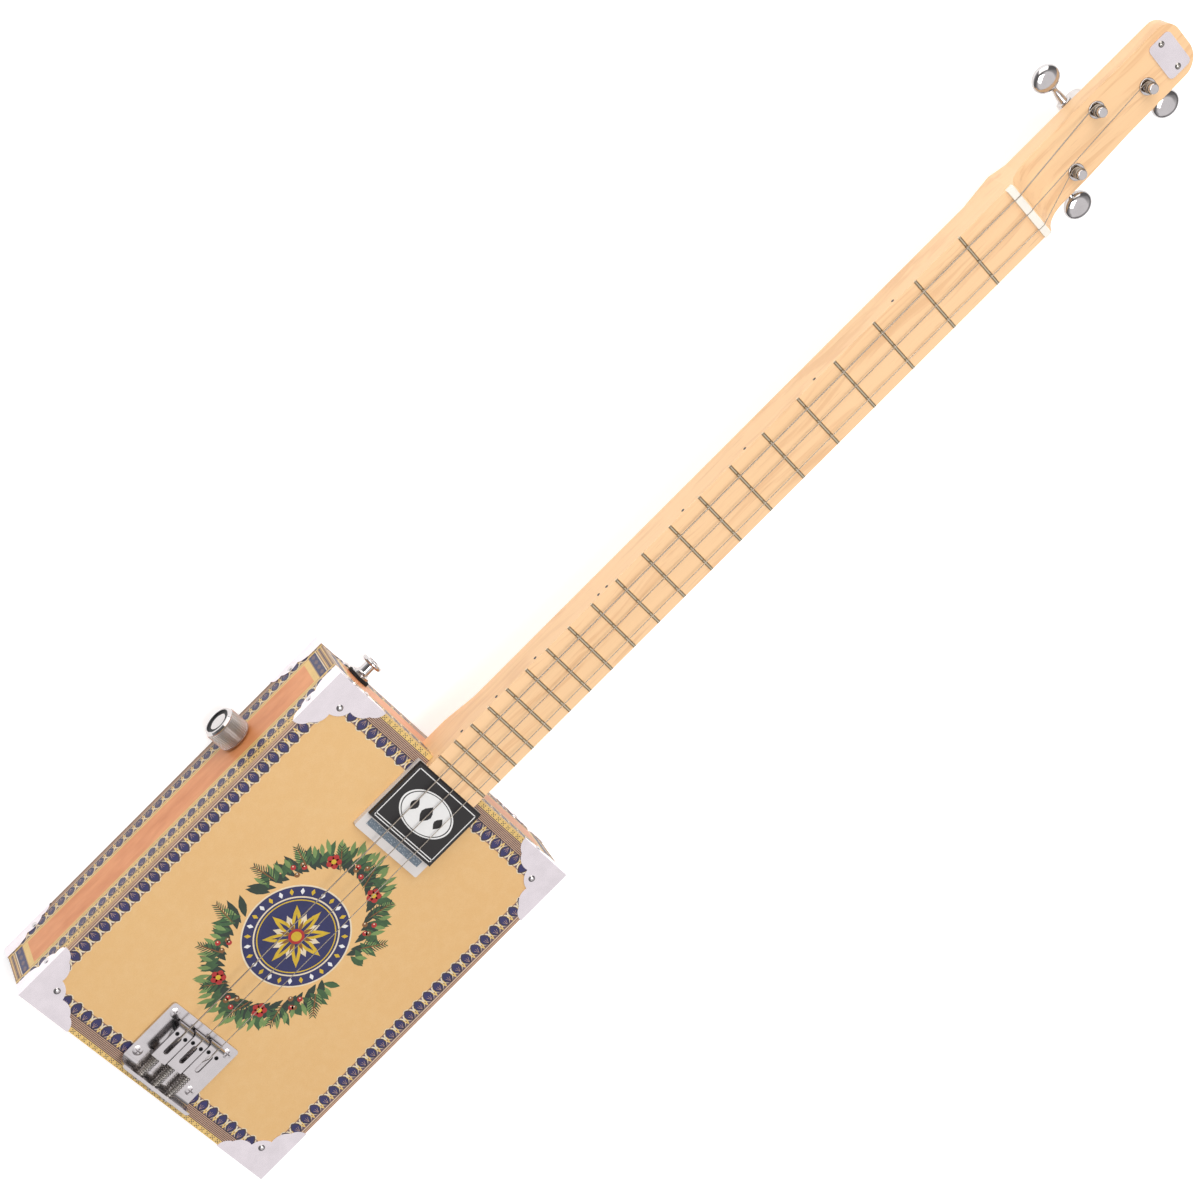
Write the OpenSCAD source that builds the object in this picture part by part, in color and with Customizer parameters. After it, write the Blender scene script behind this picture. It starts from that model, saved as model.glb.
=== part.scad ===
// Three-string cigar box guitar, lying on its back.
// X runs along the strings towards the headstock, Y towards the bass string, Z out of the lid.
// The origin is the centre of the box's back face.

/* [Box] */
// Length of the box along the strings
box_len = 244; // [200:1:290]
// Width of the box across the strings
box_wid = 189; // [150:1:230]
// Depth of the box, from back face to lid face
box_dep = 54; // [46:0.5:70]
// Thickness of the lid
lid_thk = 4; // [3:0.5:6]
// Thickness of the back panel
back_thk = 4; // [3:0.5:6]
// Thickness of the four walls
wall_thk = 5; // [4:0.5:7]

/* [Corner plates] */
// Reach of a corner plate along each edge
plate_leg = 36.5; // [30:0.5:44]
// Thickness of the sheet
plate_thk = 0.6; // [0.4:0.1:1]
// Depth of the folded flange at the corner
flange_dep = 11; // [9:0.5:14]
// Distance of the face nail from both edges
face_nail = 14; // [11:0.5:16]
// Distance of a flange nail from the corner
flange_nail = 22; // [18:0.5:25]
// Distance of a flange nail below the face
flange_nail_dep = 5; // [4:0.5:6]
// Radius of a nail's domed head
nail_head_r = 2; // [1.5:0.1:2.5]
// Radius of a nail's shank
nail_r = 0.7; // [0.5:0.1:0.9]
// Length of a nail's shank
nail_len = 4; // [3:0.5:4.5]

/* [Neck] */
// Scale length, from the nut to the uncompensated saddle line
scale_len = 635; // [600:1:660]
// Width of the neck
neck_wid = 38; // [34:0.5:44]
// Thickness of the blank at heel and headstock
blank_thk = 25.4; // [22:0.2:28]
// Height of the fingerboard above the lid
neck_proud = 4.6; // [3:0.2:6]
// Thickness taken off the blank's back between heel and headstock
neck_shave = 0.4; // [0.2:0.1:8]
// Radius of the rounded back of the neck
neck_back_r = 45; // [22:1:60]
// Length of the slope at heel and headstock
slope_len = 22; // [18:1:44]
// Length of the square heel beyond the box
heel_len = 16; // [6:1:24]
// Distance that the fingerboard runs in over the lid
neck_in = 5.5; // [4:0.5:9]
// Number of frets
fret_count = 20; // [12:1:20]
// Width of a fret's crown
fret_wid = 2.2; // [1.8:0.1:2.8]
// Height of a fret's crown
fret_ht = 0.9; // [0.8:0.1:1.3]
// Thickness of a fret's tang
tang_thk = 0.6; // [0.5:0.05:0.7]
// Depth of a fret's tang
tang_dep = 1.6; // [1.2:0.1:2.2]
// Radius of a side dot
dot_r = 1; // [0.6:0.1:1.5]
// Distance of the side dots below the fingerboard
dot_drop = 2.2; // [1.8:0.1:3]
// Depth of a side dot
dot_dep = 1.5; // [1:0.1:2.5]

/* [Headstock] */
// Length of the headstock, from the nut's near face to the tip
head_len = 132; // [124:1:145]
// Thickness of the headstock
head_thk = 12.8; // [11:0.2:15]
// Width of the headstock at its tip
tip_wid = 33; // [31:0.5:36]
// Radii of the tip's two corners, bass side first
bass_tip_r = 9; // [6:0.5:14]
treble_tip_r = 13; // [6:0.5:14]
// Radius of the scoop behind the nut
scoop_r = 18; // [14:0.5:24]
// Length, width and thickness of the plain plate at the tip
name_len = 16; // [12:0.5:18]
name_wid = 24; // [18:0.5:26]
name_thk = 0.8; // [0.5:0.1:1.2]
// Distance of the plate's centre from the tip
name_back = 13; // [11:0.5:16]

/* [Nut] */
// Thickness of the nut along the strings
nut_thk = 4.7; // [4:0.1:6]
// Width of the nut
nut_wid = 37; // [33:0.5:38]
// Depth of the nut's seat in the neck
nut_seat = 2; // [1:0.1:2.5]
// Height of the strings' undersides above the fingerboard at the nut
nut_string_ht = 1.6; // [1.3:0.1:2]

/* [Strings] */
// Distance between strings at the nut
nut_pitch = 11.7; // [10:0.1:12.5]
// Distance between strings at the bridge
bridge_pitch = 11; // [10.4:0.1:12]
// Diameters of the strings
bass_dia = 0.75; // [0.6:0.05:1.2]
middle_dia = 0.55; // [0.45:0.05:0.9]
treble_dia = 0.5; // [0.45:0.05:0.6]
// Turns of string on the three posts
bass_turns = 2; // [1:1:3]
middle_turns = 3; // [1:1:4]
treble_turns = 4; // [1:1:5]

/* [Bridge] */
// Length of the bridge plate along the strings
plate_len = 44; // [42:0.5:50]
// Width of the bridge plate
plate_wid = 51; // [46:0.5:60]
// Thickness of the bridge plate
plate_sheet = 2; // [1.5:0.1:2.5]
// Radius of the plate's bend, inside
plate_bend = 3; // [2:0.5:4]
// Height of the plate's upturned lip above the lid
lip_ht = 11.5; // [10.5:0.5:14]
// Distance from the lip's outer face to the box's tail end
lip_in = 5.5; // [4:0.5:7]
// Distance from the lip's outer face to the end of the scale length
crest_reach = 41.5; // [40:0.5:46]
// Width of a saddle
saddle_wid = 10.4; // [9:0.1:10.4]
// Length of a saddle's flat top
saddle_len = 20.5; // [19:0.5:21.5]
// Thickness of a saddle's sheet
saddle_sheet = 1.3; // [1:0.1:1.5]
// Height of a saddle's top above the lid
saddle_ht = 8.5; // [8.3:0.1:9.5]
// Intonation setback of the three saddles, behind the scale length
bass_setback = 6.5; // [5:0.1:7.5]
middle_setback = 5.2; // [4:0.1:7.5]
treble_setback = 3.9; // [3:0.1:7.5]
// Travel of a saddle each way
saddle_travel = 2; // [1:0.1:2]
// Radius of an intonation screw
int_screw_r = 1.25; // [1.1:0.05:1.3]
// Radius of a height screw
height_screw_r = 1.2; // [1:0.05:1.4]
// Wire diameter of an intonation spring
spring_wire = 0.55; // [0.4:0.05:0.6]
// Outer radius of an intonation spring
spring_r = 2.4; // [2.2:0.05:2.5]
// Number of curls in a spring
spring_curls = 9; // [6:1:10]

/* [Tuners] */
// Distance of the posts from the nut
treble_post_x = 39; // [34:0.5:46]
bass_post_x = 69; // [66:0.5:74]
middle_post_x = 99; // [95:0.5:103]
// Distance of the posts from the centre line
treble_post_y = -10.6; // [-11:0.1:-6]
bass_post_y = 8; // [6:0.1:9]
middle_post_y = -4.2; // [-8:0.1:-2]
// Radius of a post
post_r = 3; // [2.6:0.1:3.2]
// Height of a post above the headstock
post_ht = 8.2; // [7.6:0.2:11]
// Radius of a ferrule's flange
ferrule_r = 5; // [4.4:0.1:5.5]
// Thickness of a ferrule's flange
ferrule_thk = 1.2; // [0.8:0.1:1.6]
// Radius of the hole for a ferrule
post_hole_r = 4; // [3.6:0.1:4.3]
// Teeth on a worm wheel, which are also the tuner's ratio
wheel_teeth = 14; // [12:1:16]
// Distance between the worm's axis and the post's axis
axle_dist = 6.8; // [6.6:0.05:7.2]
// Pitch radius of the worm
worm_pitch_r = 2.2; // [2.1:0.05:2.3]
// Width of a button across its shaft
button_wid = 18; // [16:0.5:20]
// Length of a button along its shaft
button_len = 15.5; // [13:0.5:16]
// Thickness of a button
button_thk = 7.6; // [6:0.2:9]
// Distance from a post's axis to its button's centre
button_out = 26; // [25:0.5:30]

/* [Pickup] */
// Length of the pickup's base along the strings
pickup_len = 50.8; // [46:0.2:56]
// Width of the pickup
pickup_wid = 50.8; // [46:0.2:56]
// Length of the folded cover along the strings
cover_len = 40.5; // [36:0.5:44]
// Thickness of the pickup's base
base_thk = 3.2; // [2.6:0.1:3.4]
// Thickness of the cover
cover_thk = 3; // [2.4:0.1:3.2]

/* [Controls] */
// Distance of the knob from the box's neck end
knob_x = 68; // [50:1:120]
// Height of the knob's axis above the box's back
knob_z = 19.5; // [19:0.5:27]
// Radius of the knob
knob_r = 10.2; // [8:0.1:11]
// Length of the knob
knob_len = 15; // [12:0.5:19]
// Gap between the knob and the wall
knob_gap = 1; // [0.6:0.1:2]
// Radius of the control's shaft
shaft_r = 3; // [2.8:0.1:3.2]
// Radius of the control's threaded bush
bush_r = 3.7; // [3.6:0.1:4]
// Radius and length of the control's can
can_r = 8; // [7:0.5:12]
can_len = 8; // [6:0.5:12]
// Distance of the output socket from the box's tail end
jack_x = 62; // [50:1:110]
// Height of the socket's axis above the box's back
jack_z = 27; // [20:0.5:32]
// Radius of the socket's bore
jack_bore_r = 3.2; // [3.2:0.05:3.4]
// Radius of the socket's threaded bush
jack_bush_r = 4.7; // [4.5:0.1:5]

/* [Strap button] */
// Height of the strap button
strap_ht = 11; // [9:0.5:14]
// Radius of the strap button's rim
strap_r = 6.6; // [6:0.1:8]
// Radius of the strap button's waist
strap_waist_r = 3.4; // [3:0.1:4]
// Radius and thickness of the felt washer
felt_r = 7; // [6:0.1:9]
felt_thk = 2; // [1:0.1:3]
// Distance of the button from the centre line, and its height
strap_y = 67; // [50:1:72]
strap_z = 16; // [15:0.5:30]

/* [Hidden] */
$fn = 64;
SIDES = ["bass", "middle", "treble"];
eps = 0.01;
running = 0.05;
chrome = "#c9ccd2";
steel = "#9a9da3";
maple = "#eebf86";
paper = "#ecc084";
label = "#3a3763";
black = "#2a2528";

half_len = box_len / 2;
half_wid = box_wid / 2;
lid_z = box_dep - lid_thk;
neck_top = box_dep + neck_proud;
blank_bottom = neck_top - blank_thk;
neck_back = blank_bottom + neck_shave;
lip_x = -half_len + lip_in;
nut_x = lip_x + crest_reach + scale_len;
head_x = nut_x + nut_thk;
tip_x = nut_x + head_len;
head_face = blank_bottom + head_thk;
fingerboard_end = half_len - neck_in;
// Frets that the fingerboard holds, with room for the last one's foot before its end
fret_room = 2.5;
crest_dist = fingerboard_end + fret_room - (nut_x - scale_len);
frets_held = min(fret_count, floor(12 * ln(scale_len / crest_dist) / ln(2)));
function fret_x(n) = nut_x - scale_len * (1 - pow(2, -n / 12));

// Values of the three strings, bass first
function of_side(side, values) = values[search([side], SIDES)[0]];
function string_dia(side) = of_side(side, [bass_dia, middle_dia, treble_dia]);
function string_row(side) = of_side(side, [1, 0, -1]);
function setback(side) = of_side(side, [bass_setback, middle_setback, treble_setback]);
function turns(side) = of_side(side, [bass_turns, middle_turns, treble_turns]);
function post_x(side) = nut_x + of_side(side, [bass_post_x, middle_post_x, treble_post_x]);
function post_y(side) = of_side(side, [bass_post_y, middle_post_y, treble_post_y]);
function crest_x(side) = lip_x + crest_reach - setback(side);
function saddle_y(side) = string_row(side) * bridge_pitch;
// Which way the button points, and on which side of the post the worm runs
function button_way(side) = of_side(side, [1, -1, -1]);
function worm_way(side) = of_side(side, [-1, 1, -1]);

// Draws a profile of x and z, extruded evenly about y = 0
module along_y(width) {
    rotate([90, 0, 0])
        linear_extrude(height = width, center = true)
            children();
}

// Draws a profile of y and z, extruded from x = 0 to x = length
module along_x(length) {
    rotate([90, 0, 90])
        linear_extrude(height = length)
            children();
}

// A quarter of a ring in the quadrant of positive x and y
module quarter_ring(outer, inner) {
    intersection() {
        difference() {
            circle(outer);
            circle(inner);
        }
        square(outer + 1);
    }
}

module rounded_rectangle(length, width, r) {
    square([length - 2 * r, width], center = true);
    square([length, width - 2 * r], center = true);
    for (x = [-1, 1], y = [-1, 1])
        translate([x * (length / 2 - r), y * (width / 2 - r)])
            circle(r);
}

module rod_x(r, from, to) {
    translate([from, 0, 0])
        rotate([0, 90, 0])
            cylinder(r = r, h = to - from);
}

module rod_y(r, from, to) {
    translate([0, from, 0])
        rotate([-90, 0, 0])
            cylinder(r = r, h = to - from);
}

// Frame of a ring of a tube: two unit vectors square to the run at point i
function unit(v) = v / norm(v);
function run(path, i) = unit(path[min(i + 1, len(path) - 1)] - path[max(i - 1, 0)]);
function ring(path, i, r, sides, up) =
    let (t = run(path, i), u = unit(cross(up, t)), v = cross(t, u))
    [for (k = [0 : sides - 1]) path[i] + r * (cos(360 * k / sides) * u + sin(360 * k / sides) * v)];

// Least gap in a wire of a given diameter between points at least half a turn apart
function least_gap(path, half_turn, dia) =
    min([for (i = [0 : len(path) - 1 - half_turn], j = [i + half_turn : len(path) - 1])
        norm(path[i] - path[j])]) - dia;

// A tube along a path, closed by a flat face at each end
module tube(path, r, sides, up) {
    points = [for (i = [0 : len(path) - 1]) each ring(path, i, r, sides, up)];
    last = (len(path) - 1) * sides;
    quads = [for (i = [0 : len(path) - 2], k = [0 : sides - 1])
        let (a = i * sides + k, b = i * sides + (k + 1) % sides)
        [a, a + sides, b + sides, b]];
    skin = [for (q = quads) each [[q[0], q[1], q[2]], [q[0], q[2], q[3]]]];
    near = [for (k = [1 : sides - 2]) [0, k, k + 1]];
    far = [for (k = [1 : sides - 2]) [last, last + k + 1, last + k]];
    polyhedron(points = points, faces = concat(skin, near, far), convexity = 10);
}

// Box

module box_back() {
    color(paper)
        difference() {
            translate([-half_len, -half_wid, 0])
                cube([box_len, box_wid, back_thk]);
            plate_recesses();
            nail_holes();
        }
}

module long_wall(way) {
    color(label)
        difference() {
            translate([-half_len, way > 0 ? half_wid - wall_thk : -half_wid, back_thk])
                cube([box_len, wall_thk, lid_z - back_thk]);
            nail_holes();
            if (way > 0)
                translate([knob_at, half_wid, knob_z])
                    rod_y(bush_r, -wall_thk - 1, 1);
            else
                translate([jack_at, -half_wid, jack_z])
                    rod_y(jack_bush_r, -1, wall_thk + 1);
        }
}
knob_at = half_len - knob_x;
jack_at = -half_len + jack_x;
module box_side_bass() long_wall(1);
module box_side_treble() long_wall(-1);

module end_wall(way) {
    inner = box_wid - 2 * wall_thk;
    color(label)
        difference() {
            translate([way > 0 ? half_len - wall_thk : -half_len, -inner / 2, back_thk])
                cube([wall_thk, inner, lid_z - back_thk]);
            nail_holes();
            if (way > 0) {
                translate([half_len - wall_thk - 1, -neck_wid / 2, blank_bottom])
                    cube([wall_thk + 2, neck_wid, blank_thk]);
                place_strap()
                    rod_x(strap_screw_r, -strap_screw_len, 1);
            }
        }
}
module box_end_neck() end_wall(1);
module box_end_tail() end_wall(-1);

module box_lid() {
    color(paper)
        difference() {
            translate([-half_len, -half_wid, lid_z])
                cube([box_len, box_wid, lid_thk]);
            translate([fingerboard_end, -neck_wid / 2, lid_z - 1])
                cube([neck_in + 1, neck_wid, lid_thk + 2]);
            nail_holes();
            bridge_screw_sites()
                cylinder(r = wood_screw_r, h = wood_screw_len + 1);
            translate([0, 0, lid_z - 1])
                pickup_lead_site()
                    cylinder(r = lead_hole_r, h = lid_thk + 2);
        }
}
lead_hole_r = 2.5;
module pickup_lead_site() {
    translate([pickup_x, neck_wid / 2 + lead_hole_r + 1, 0])
        children();
}

// Corner plates and their nails

// Draws the children at the four corners of the lid, whose plates lie on it, and at the
// four of the back, whose plates are let in flush
module eight_corners(ends = [0, 1]) {
    for (x = [0, 1], y = [0, 1], z = ends)
        mirror([x, 0, 0])
            mirror([0, y, 0])
                translate([0, 0, z == 0 ? plate_thk : box_dep])
                    mirror([0, 0, z])
                        translate([half_len, half_wid, 0])
                            children();
}

// Recesses for the back's plates, a little wider than the plates all round
plate_room = 0.4;
module plate_recesses() {
    eight_corners([0])
        translate([plate_thk, plate_thk, -plate_thk - 1])
            mirror([1, 0, 0])
                mirror([0, 1, 0])
                    linear_extrude(height = plate_thk + 1)
                        plate_face(plate_leg + plate_room);
}

// Scalloped half of a plate's face: a corner lobe, a middle lobe and a tip lobe
module plate_scallops(leg) {
    corner_lobe = 0.28 * leg;
    middle_lobe = 0.26 * leg;
    tip_lobe = 0.22 * leg;
    translate([corner_lobe + 0.5, corner_lobe + 0.5])
        circle(corner_lobe);
    translate([0.62 * leg, 0.09 * leg])
        circle(middle_lobe);
    translate([leg - tip_lobe, 0])
        circle(tip_lobe);
    square([0.6 * leg, 0.32 * leg]);
}

module plate_face(leg = plate_leg) {
    intersection() {
        square(leg + 1);
        union() {
            plate_scallops(leg);
            mirror([1, -1])
                plate_scallops(leg);
        }
    }
}

// Outline of a flange: deep at the corner, with a lobe round the nail and a tip
module plate_flange() {
    tip_lobe = 0.42 * flange_dep;
    tip_at = plate_leg - tip_lobe - 0.8;
    intersection() {
        square([plate_leg + 1, flange_dep + 1]);
        union() {
            square([0.28 * plate_leg, flange_dep]);
            translate([0.28 * plate_leg - 1, 0.6])
                circle(flange_dep - 0.9);
            translate([flange_nail, 0])
                circle(0.75 * flange_dep);
            translate([tip_at, 0])
                circle(tip_lobe);
            square([tip_at, 0.36 * flange_dep]);
        }
    }
}

// One plate, drawn with the box's corner at the origin and the box towards -x, -y, +z
module corner_plate() {
    translate([plate_thk, plate_thk, -plate_thk])
        mirror([1, 0, 0])
            mirror([0, 1, 0])
                linear_extrude(height = plate_thk)
                    plate_face();
    translate([plate_thk, 0, -plate_thk])
        rotate([90, 0, 0])
            mirror([1, 0, 0])
                translate([0, 0, -plate_thk])
                    linear_extrude(height = plate_thk)
                        plate_flange();
    translate([0, plate_thk, -plate_thk])
        rotate([90, 0, 90])
            mirror([1, 0, 0])
                linear_extrude(height = plate_thk)
                    plate_flange();
}

module corner_plates() {
    color(chrome)
        difference() {
            eight_corners()
                corner_plate();
            nail_holes();
        }
}

// Draws the children at a plate's three nails, with +z pointing out of the box
module three_nails() {
    translate([-face_nail, -face_nail, 0])
        rotate([180, 0, 0])
            children();
    translate([-flange_nail, 0, flange_nail_dep])
        rotate([-90, 0, 0])
            children();
    translate([0, -flange_nail, flange_nail_dep])
        rotate([0, 90, 0])
            children();
}

module nail_holes() {
    eight_corners()
        three_nails()
            translate([0, 0, -nail_len])
                cylinder(r = nail_r, h = nail_len + 2, $fn = 24);
}

// A nail with a domed head that stands on its plate
module nail() {
    head_ht = 0.45 * nail_head_r;
    cap_r = (nail_head_r * nail_head_r + head_ht * head_ht) / (2 * head_ht);
    translate([0, 0, -nail_len])
        cylinder(r = nail_r, h = nail_len + plate_thk + eps, $fn = 24);
    translate([0, 0, plate_thk])
        intersection() {
            translate([0, 0, head_ht - cap_r])
                sphere(cap_r);
            cylinder(r = nail_head_r, h = head_ht);
        }
}

// The back's face nails are driven flush, because the box rests there
module flush_nail() {
    translate([0, 0, -nail_len])
        cylinder(r = nail_r, h = nail_len + plate_thk, $fn = 24);
}

module corner_nails() {
    color(chrome) {
        eight_corners()
            difference() {
                three_nails()
                    nail();
                translate([-face_nail, -face_nail, -5])
                    cylinder(r = nail_head_r + 1, h = 5 + eps + nail_len);
            }
        for (x = [-1, 1], y = [-1, 1]) {
            translate([x * (half_len - face_nail), y * (half_wid - face_nail), box_dep])
                nail();
            translate([x * (half_len - face_nail), y * (half_wid - face_nail), plate_thk])
                rotate([180, 0, 0])
                    flush_nail();
        }
    }
}

// Neck

// Cross-section of the neck: flat fingerboard, straight sides and a round back
module neck_section() {
    intersection() {
        translate([-neck_wid / 2, neck_back - 1])
            square([neck_wid, neck_top - neck_back + 1]);
        translate([0, neck_back + neck_back_r])
            circle(neck_back_r);
    }
}

module blank_section(top) {
    translate([-neck_wid / 2, blank_bottom])
        square([neck_wid, top - blank_bottom]);
}

// Flare from the round back to the square blank, at heel or headstock: the blank within a
// cone that clears its corners at the square end
module slope(round_x, square_x) {
    axis_z = neck_back + neck_back_r;
    corner = norm([neck_wid / 2, axis_z - blank_bottom]) + 0.2;
    intersection() {
        translate([min(round_x, square_x), 0, 0])
            along_x(abs(square_x - round_x))
                blank_section(neck_top);
        translate([round_x, 0, axis_z])
            rotate([0, square_x > round_x ? 90 : -90, 0])
                cylinder(r1 = neck_back_r + 2 * eps, r2 = corner, h = abs(square_x - round_x));
    }
}

// Outline of the headstock: it narrows at once on the bass side, and in three steps on the
// treble side
module head_outline() {
    half_tip = tip_wid / 2;
    shoulder = head_x + 0.28 * (tip_x - head_x);
    waist = head_x + 0.55 * (tip_x - head_x);
    translate([tip_x - bass_tip_r, half_tip - bass_tip_r])
        circle(bass_tip_r);
    translate([tip_x - treble_tip_r, treble_tip_r - half_tip])
        circle(treble_tip_r);
    polygon([
        [slope_end - 1, neck_wid / 2], [slope_end, neck_wid / 2], [head_x + 9, half_tip + 0.3],
        [tip_x - bass_tip_r, half_tip], [tip_x, half_tip - bass_tip_r],
        [tip_x, treble_tip_r - half_tip], [tip_x - treble_tip_r, -half_tip],
        [waist, -half_tip - 0.6], [shoulder, -neck_wid / 2 + 0.3], [slope_end - 1, -neck_wid / 2]
    ]);
}

heel_x = half_len + heel_len;
slope_end = head_x - 2;
scoop_x = head_x + 0.8;

module neck() {
    foot = sqrt(pow(scoop_r, 2) - pow(scoop_r - (neck_top - head_face), 2));
    color(maple)
        difference() {
            union() {
                translate([heel_x + slope_len - eps, 0, 0])
                    along_x(slope_end - slope_len - heel_x - slope_len + 2 * eps)
                        neck_section();
                slope(heel_x + slope_len, heel_x);
                slope(slope_end - slope_len, slope_end);
                translate([fingerboard_end, 0, 0])
                    along_x(heel_x - fingerboard_end + eps)
                        blank_section(neck_top);
                translate([-half_len + wall_thk, 0, 0])
                    along_x(fingerboard_end + half_len - wall_thk + eps)
                        blank_section(lid_z);
                intersection() {
                    translate([0, 0, blank_bottom])
                        linear_extrude(height = blank_thk)
                            head_outline();
                    translate([slope_end - eps, -neck_wid, 0])
                        cube([head_len, 2 * neck_wid, 2 * neck_top]);
                }
            }
            translate([scoop_x + foot, 0, head_face + scoop_r])
                rod_y(scoop_r, -neck_wid, neck_wid);
            translate([scoop_x + foot, -neck_wid, head_face])
                cube([head_len, 2 * neck_wid, blank_thk]);
            translate([nut_x, -neck_wid, neck_top - nut_seat])
                cube([nut_thk, 2 * neck_wid, nut_seat + 1]);
            for (n = [1 : frets_held])
                translate([fret_x(n) - tang_thk / 2, -neck_wid, neck_top - tang_dep])
                    cube([tang_thk, 2 * neck_wid, tang_dep + 1]);
            dot_sites()
                rod_y(dot_r, -dot_dep, 1);
            for (side = SIDES) {
                translate([post_x(side), post_y(side), blank_bottom - 1])
                    cylinder(r = post_hole_r, h = head_thk + 2);
                place_tuner(side)
                    translate(lug_at)
                        translate([0, 0, -1])
                            cylinder(r = small_screw_r, h = small_screw_len + 1, $fn = 24);
            }
            name_screw_sites()
                translate([0, 0, -small_screw_len])
                    cylinder(r = small_screw_r, h = small_screw_len + 1, $fn = 24);
            bridge_screw_sites()
                cylinder(r = wood_screw_r, h = wood_screw_len + 1);
        }
}

// A fret, with its crown's ends bevelled
module fret() {
    crown_r = (pow(fret_wid / 2, 2) + pow(fret_ht, 2)) / (2 * fret_ht);
    lean = 0.7;
    high = fret_ht + 0.5;
    out = neck_wid / 2 + 1;
    in = out - 1 - lean * (high - 0.15);
    intersection() {
        along_y(neck_wid) {
            intersection() {
                translate([0, fret_ht - crown_r])
                    circle(crown_r);
                translate([-fret_wid / 2, 0])
                    square([fret_wid, fret_ht + 0.2]);
            }
            translate([-tang_thk / 2, -tang_dep])
                square([tang_thk, tang_dep + eps]);
        }
        translate([-fret_wid, 0, 0])
            along_x(2 * fret_wid)
                polygon([
                    [-out, -tang_dep - 1], [out, -tang_dep - 1], [out, 0.15 - 1 / lean], [in, high],
                    [-in, high], [-out, 0.15 - 1 / lean]
                ]);
    }
}

module frets() {
    color(steel)
        for (n = [1 : frets_held])
            translate([fret_x(n), 0, neck_top])
                fret();
}

// Places along the neck's bass side, with two dots at the octave
octave_fret = 12;
module dot_sites() {
    singles = [for (n = [3, 5, 7, 9, 15, 17, 19]) if (n <= frets_held) (fret_x(n) + fret_x(n - 1)) / 2];
    octave = (fret_x(octave_fret) + fret_x(octave_fret - 1)) / 2;
    octave_gap = (fret_x(octave_fret - 1) - fret_x(octave_fret)) / 3;
    for (x = concat(singles, [octave - octave_gap / 2, octave + octave_gap / 2]))
        translate([x, neck_wid / 2, neck_top - dot_drop])
            children();
}

module side_dots() {
    color(black)
        dot_sites()
            rod_y(dot_r, -dot_dep, 0);
}

module nut() {
    top = nut_string_ht + 1;
    head_edge = 1.2;
    color("#f4f1ea")
        difference() {
            translate([nut_x, 0, neck_top - nut_seat])
                along_y(nut_wid) {
                    square([nut_thk - head_edge, nut_seat + top]);
                    square([nut_thk, nut_seat + top - head_edge]);
                    translate([nut_thk - head_edge, nut_seat + top - head_edge])
                        circle(head_edge);
                }
            for (side = SIDES)
                translate([nut_x, string_row(side) * nut_pitch, nut_string_z(side)]) {
                    rod_x(string_dia(side) / 2 + running, -1, nut_thk + 1, $fn = 24);
                    translate([-1, -string_dia(side) / 2 - running, 0])
                        cube([nut_thk + 2, string_dia(side) + 2 * running, 5]);
                }
        }
}

// Strings

function nut_string_z(side) = neck_top + nut_string_ht + string_dia(side) / 2 + running;
function saddle_string_z(side) = box_dep + saddle_ht + string_dia(side) / 2 + running;
wrap_gap = 0.45;
function wrap_r(side) = post_r + string_dia(side) / 2 + running;
wrap_base = head_face + ferrule_thk + 0.9;
function wrap_z(side) = wrap_base + string_dia(side) / 2;

// Distances behind the crest between which a string climbs through the saddle's slot
slot_rise_from = 14.5;
slot_rise_to = 5.2;

// Points of a string: ball end, lip, slot, crest, nut and post
function string_path(side) =
    let (y = saddle_y(side), yn = string_row(side) * nut_pitch, x = crest_x(side))
    [
        [lip_x - 1.5, y, low_z], [x - slot_rise_from, y, low_z],
        [x - slot_rise_to, y, saddle_string_z(side)], [head_x, yn, nut_string_z(side)],
        [post_x(side) - string_dia(side) - 1, post_y(side) + wrap_r(side), wrap_z(side)],
        [post_x(side) - string_dia(side) - running, post_y(side) + wrap_r(side), wrap_z(side)]
    ];

module guitar_string(side) {
    path = string_path(side);
    r = string_dia(side) / 2;
    ball_r = 1.6;
    ball_ht = 3.2;
    color(steel) {
        for (i = [0 : len(path) - 2])
            wire(path[i], path[i + 1], r);
        for (i = [1 : len(path) - 2])
            translate(path[i])
                sphere(r + 0.04);
        translate([lip_x - ball_r - 0.1, saddle_y(side), box_dep + 0.3])
            cylinder(r = ball_r, h = ball_ht);
    }
}
module string_bass() guitar_string("bass");
module string_middle() guitar_string("middle");
module string_treble() guitar_string("treble");

// A straight round wire between two points
module wire(from, to, r) {
    d = to - from;
    translate(from)
        rotate([0, acos(d[2] / norm(d)), atan2(d[1], d[0])])
            cylinder(r = r, h = norm(d));
}

// Winding: the string meets it on the bass side of the post, turns clockwise and climbs,
// then goes into the post's hole on the tail side
function winding_path(side) =
    let (
        d = string_dia(side), r = wrap_r(side), rise = d + wrap_gap, n = turns(side),
        steps = 24 * n + 6, top = wrap_z(side) + rise * steps / 24
    )
    concat(
        [[-d, r, wrap_z(side)]],
        [for (i = [0 : steps])
            [r * sin(360 * i / 24), r * cos(360 * i / 24), wrap_z(side) + rise * i / 24]],
        [[r * 0.94, -d * 0.6, top], [r * 0.8, -d, top], [r * 0.8 - d, -d, top]]
    );

module winding(side) {
    color(steel)
        translate([post_x(side), post_y(side), 0])
            tube(winding_path(side), string_dia(side) / 2, 6, [0, 0, 1]);
}
module winding_bass() winding("bass");
module winding_middle() winding("middle");
module winding_treble() winding("treble");

// Bridge

plate_top = box_dep + plate_sheet;
lip_face = lip_x + plate_sheet;
screw_z = box_dep + saddle_ht - saddle_sheet - int_screw_r - 0.1;
low_z = plate_top + 0.65;
string_hole_r = 0.8;
plate_corner = 2;
bridge_screw_in = 4.9;

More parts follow.
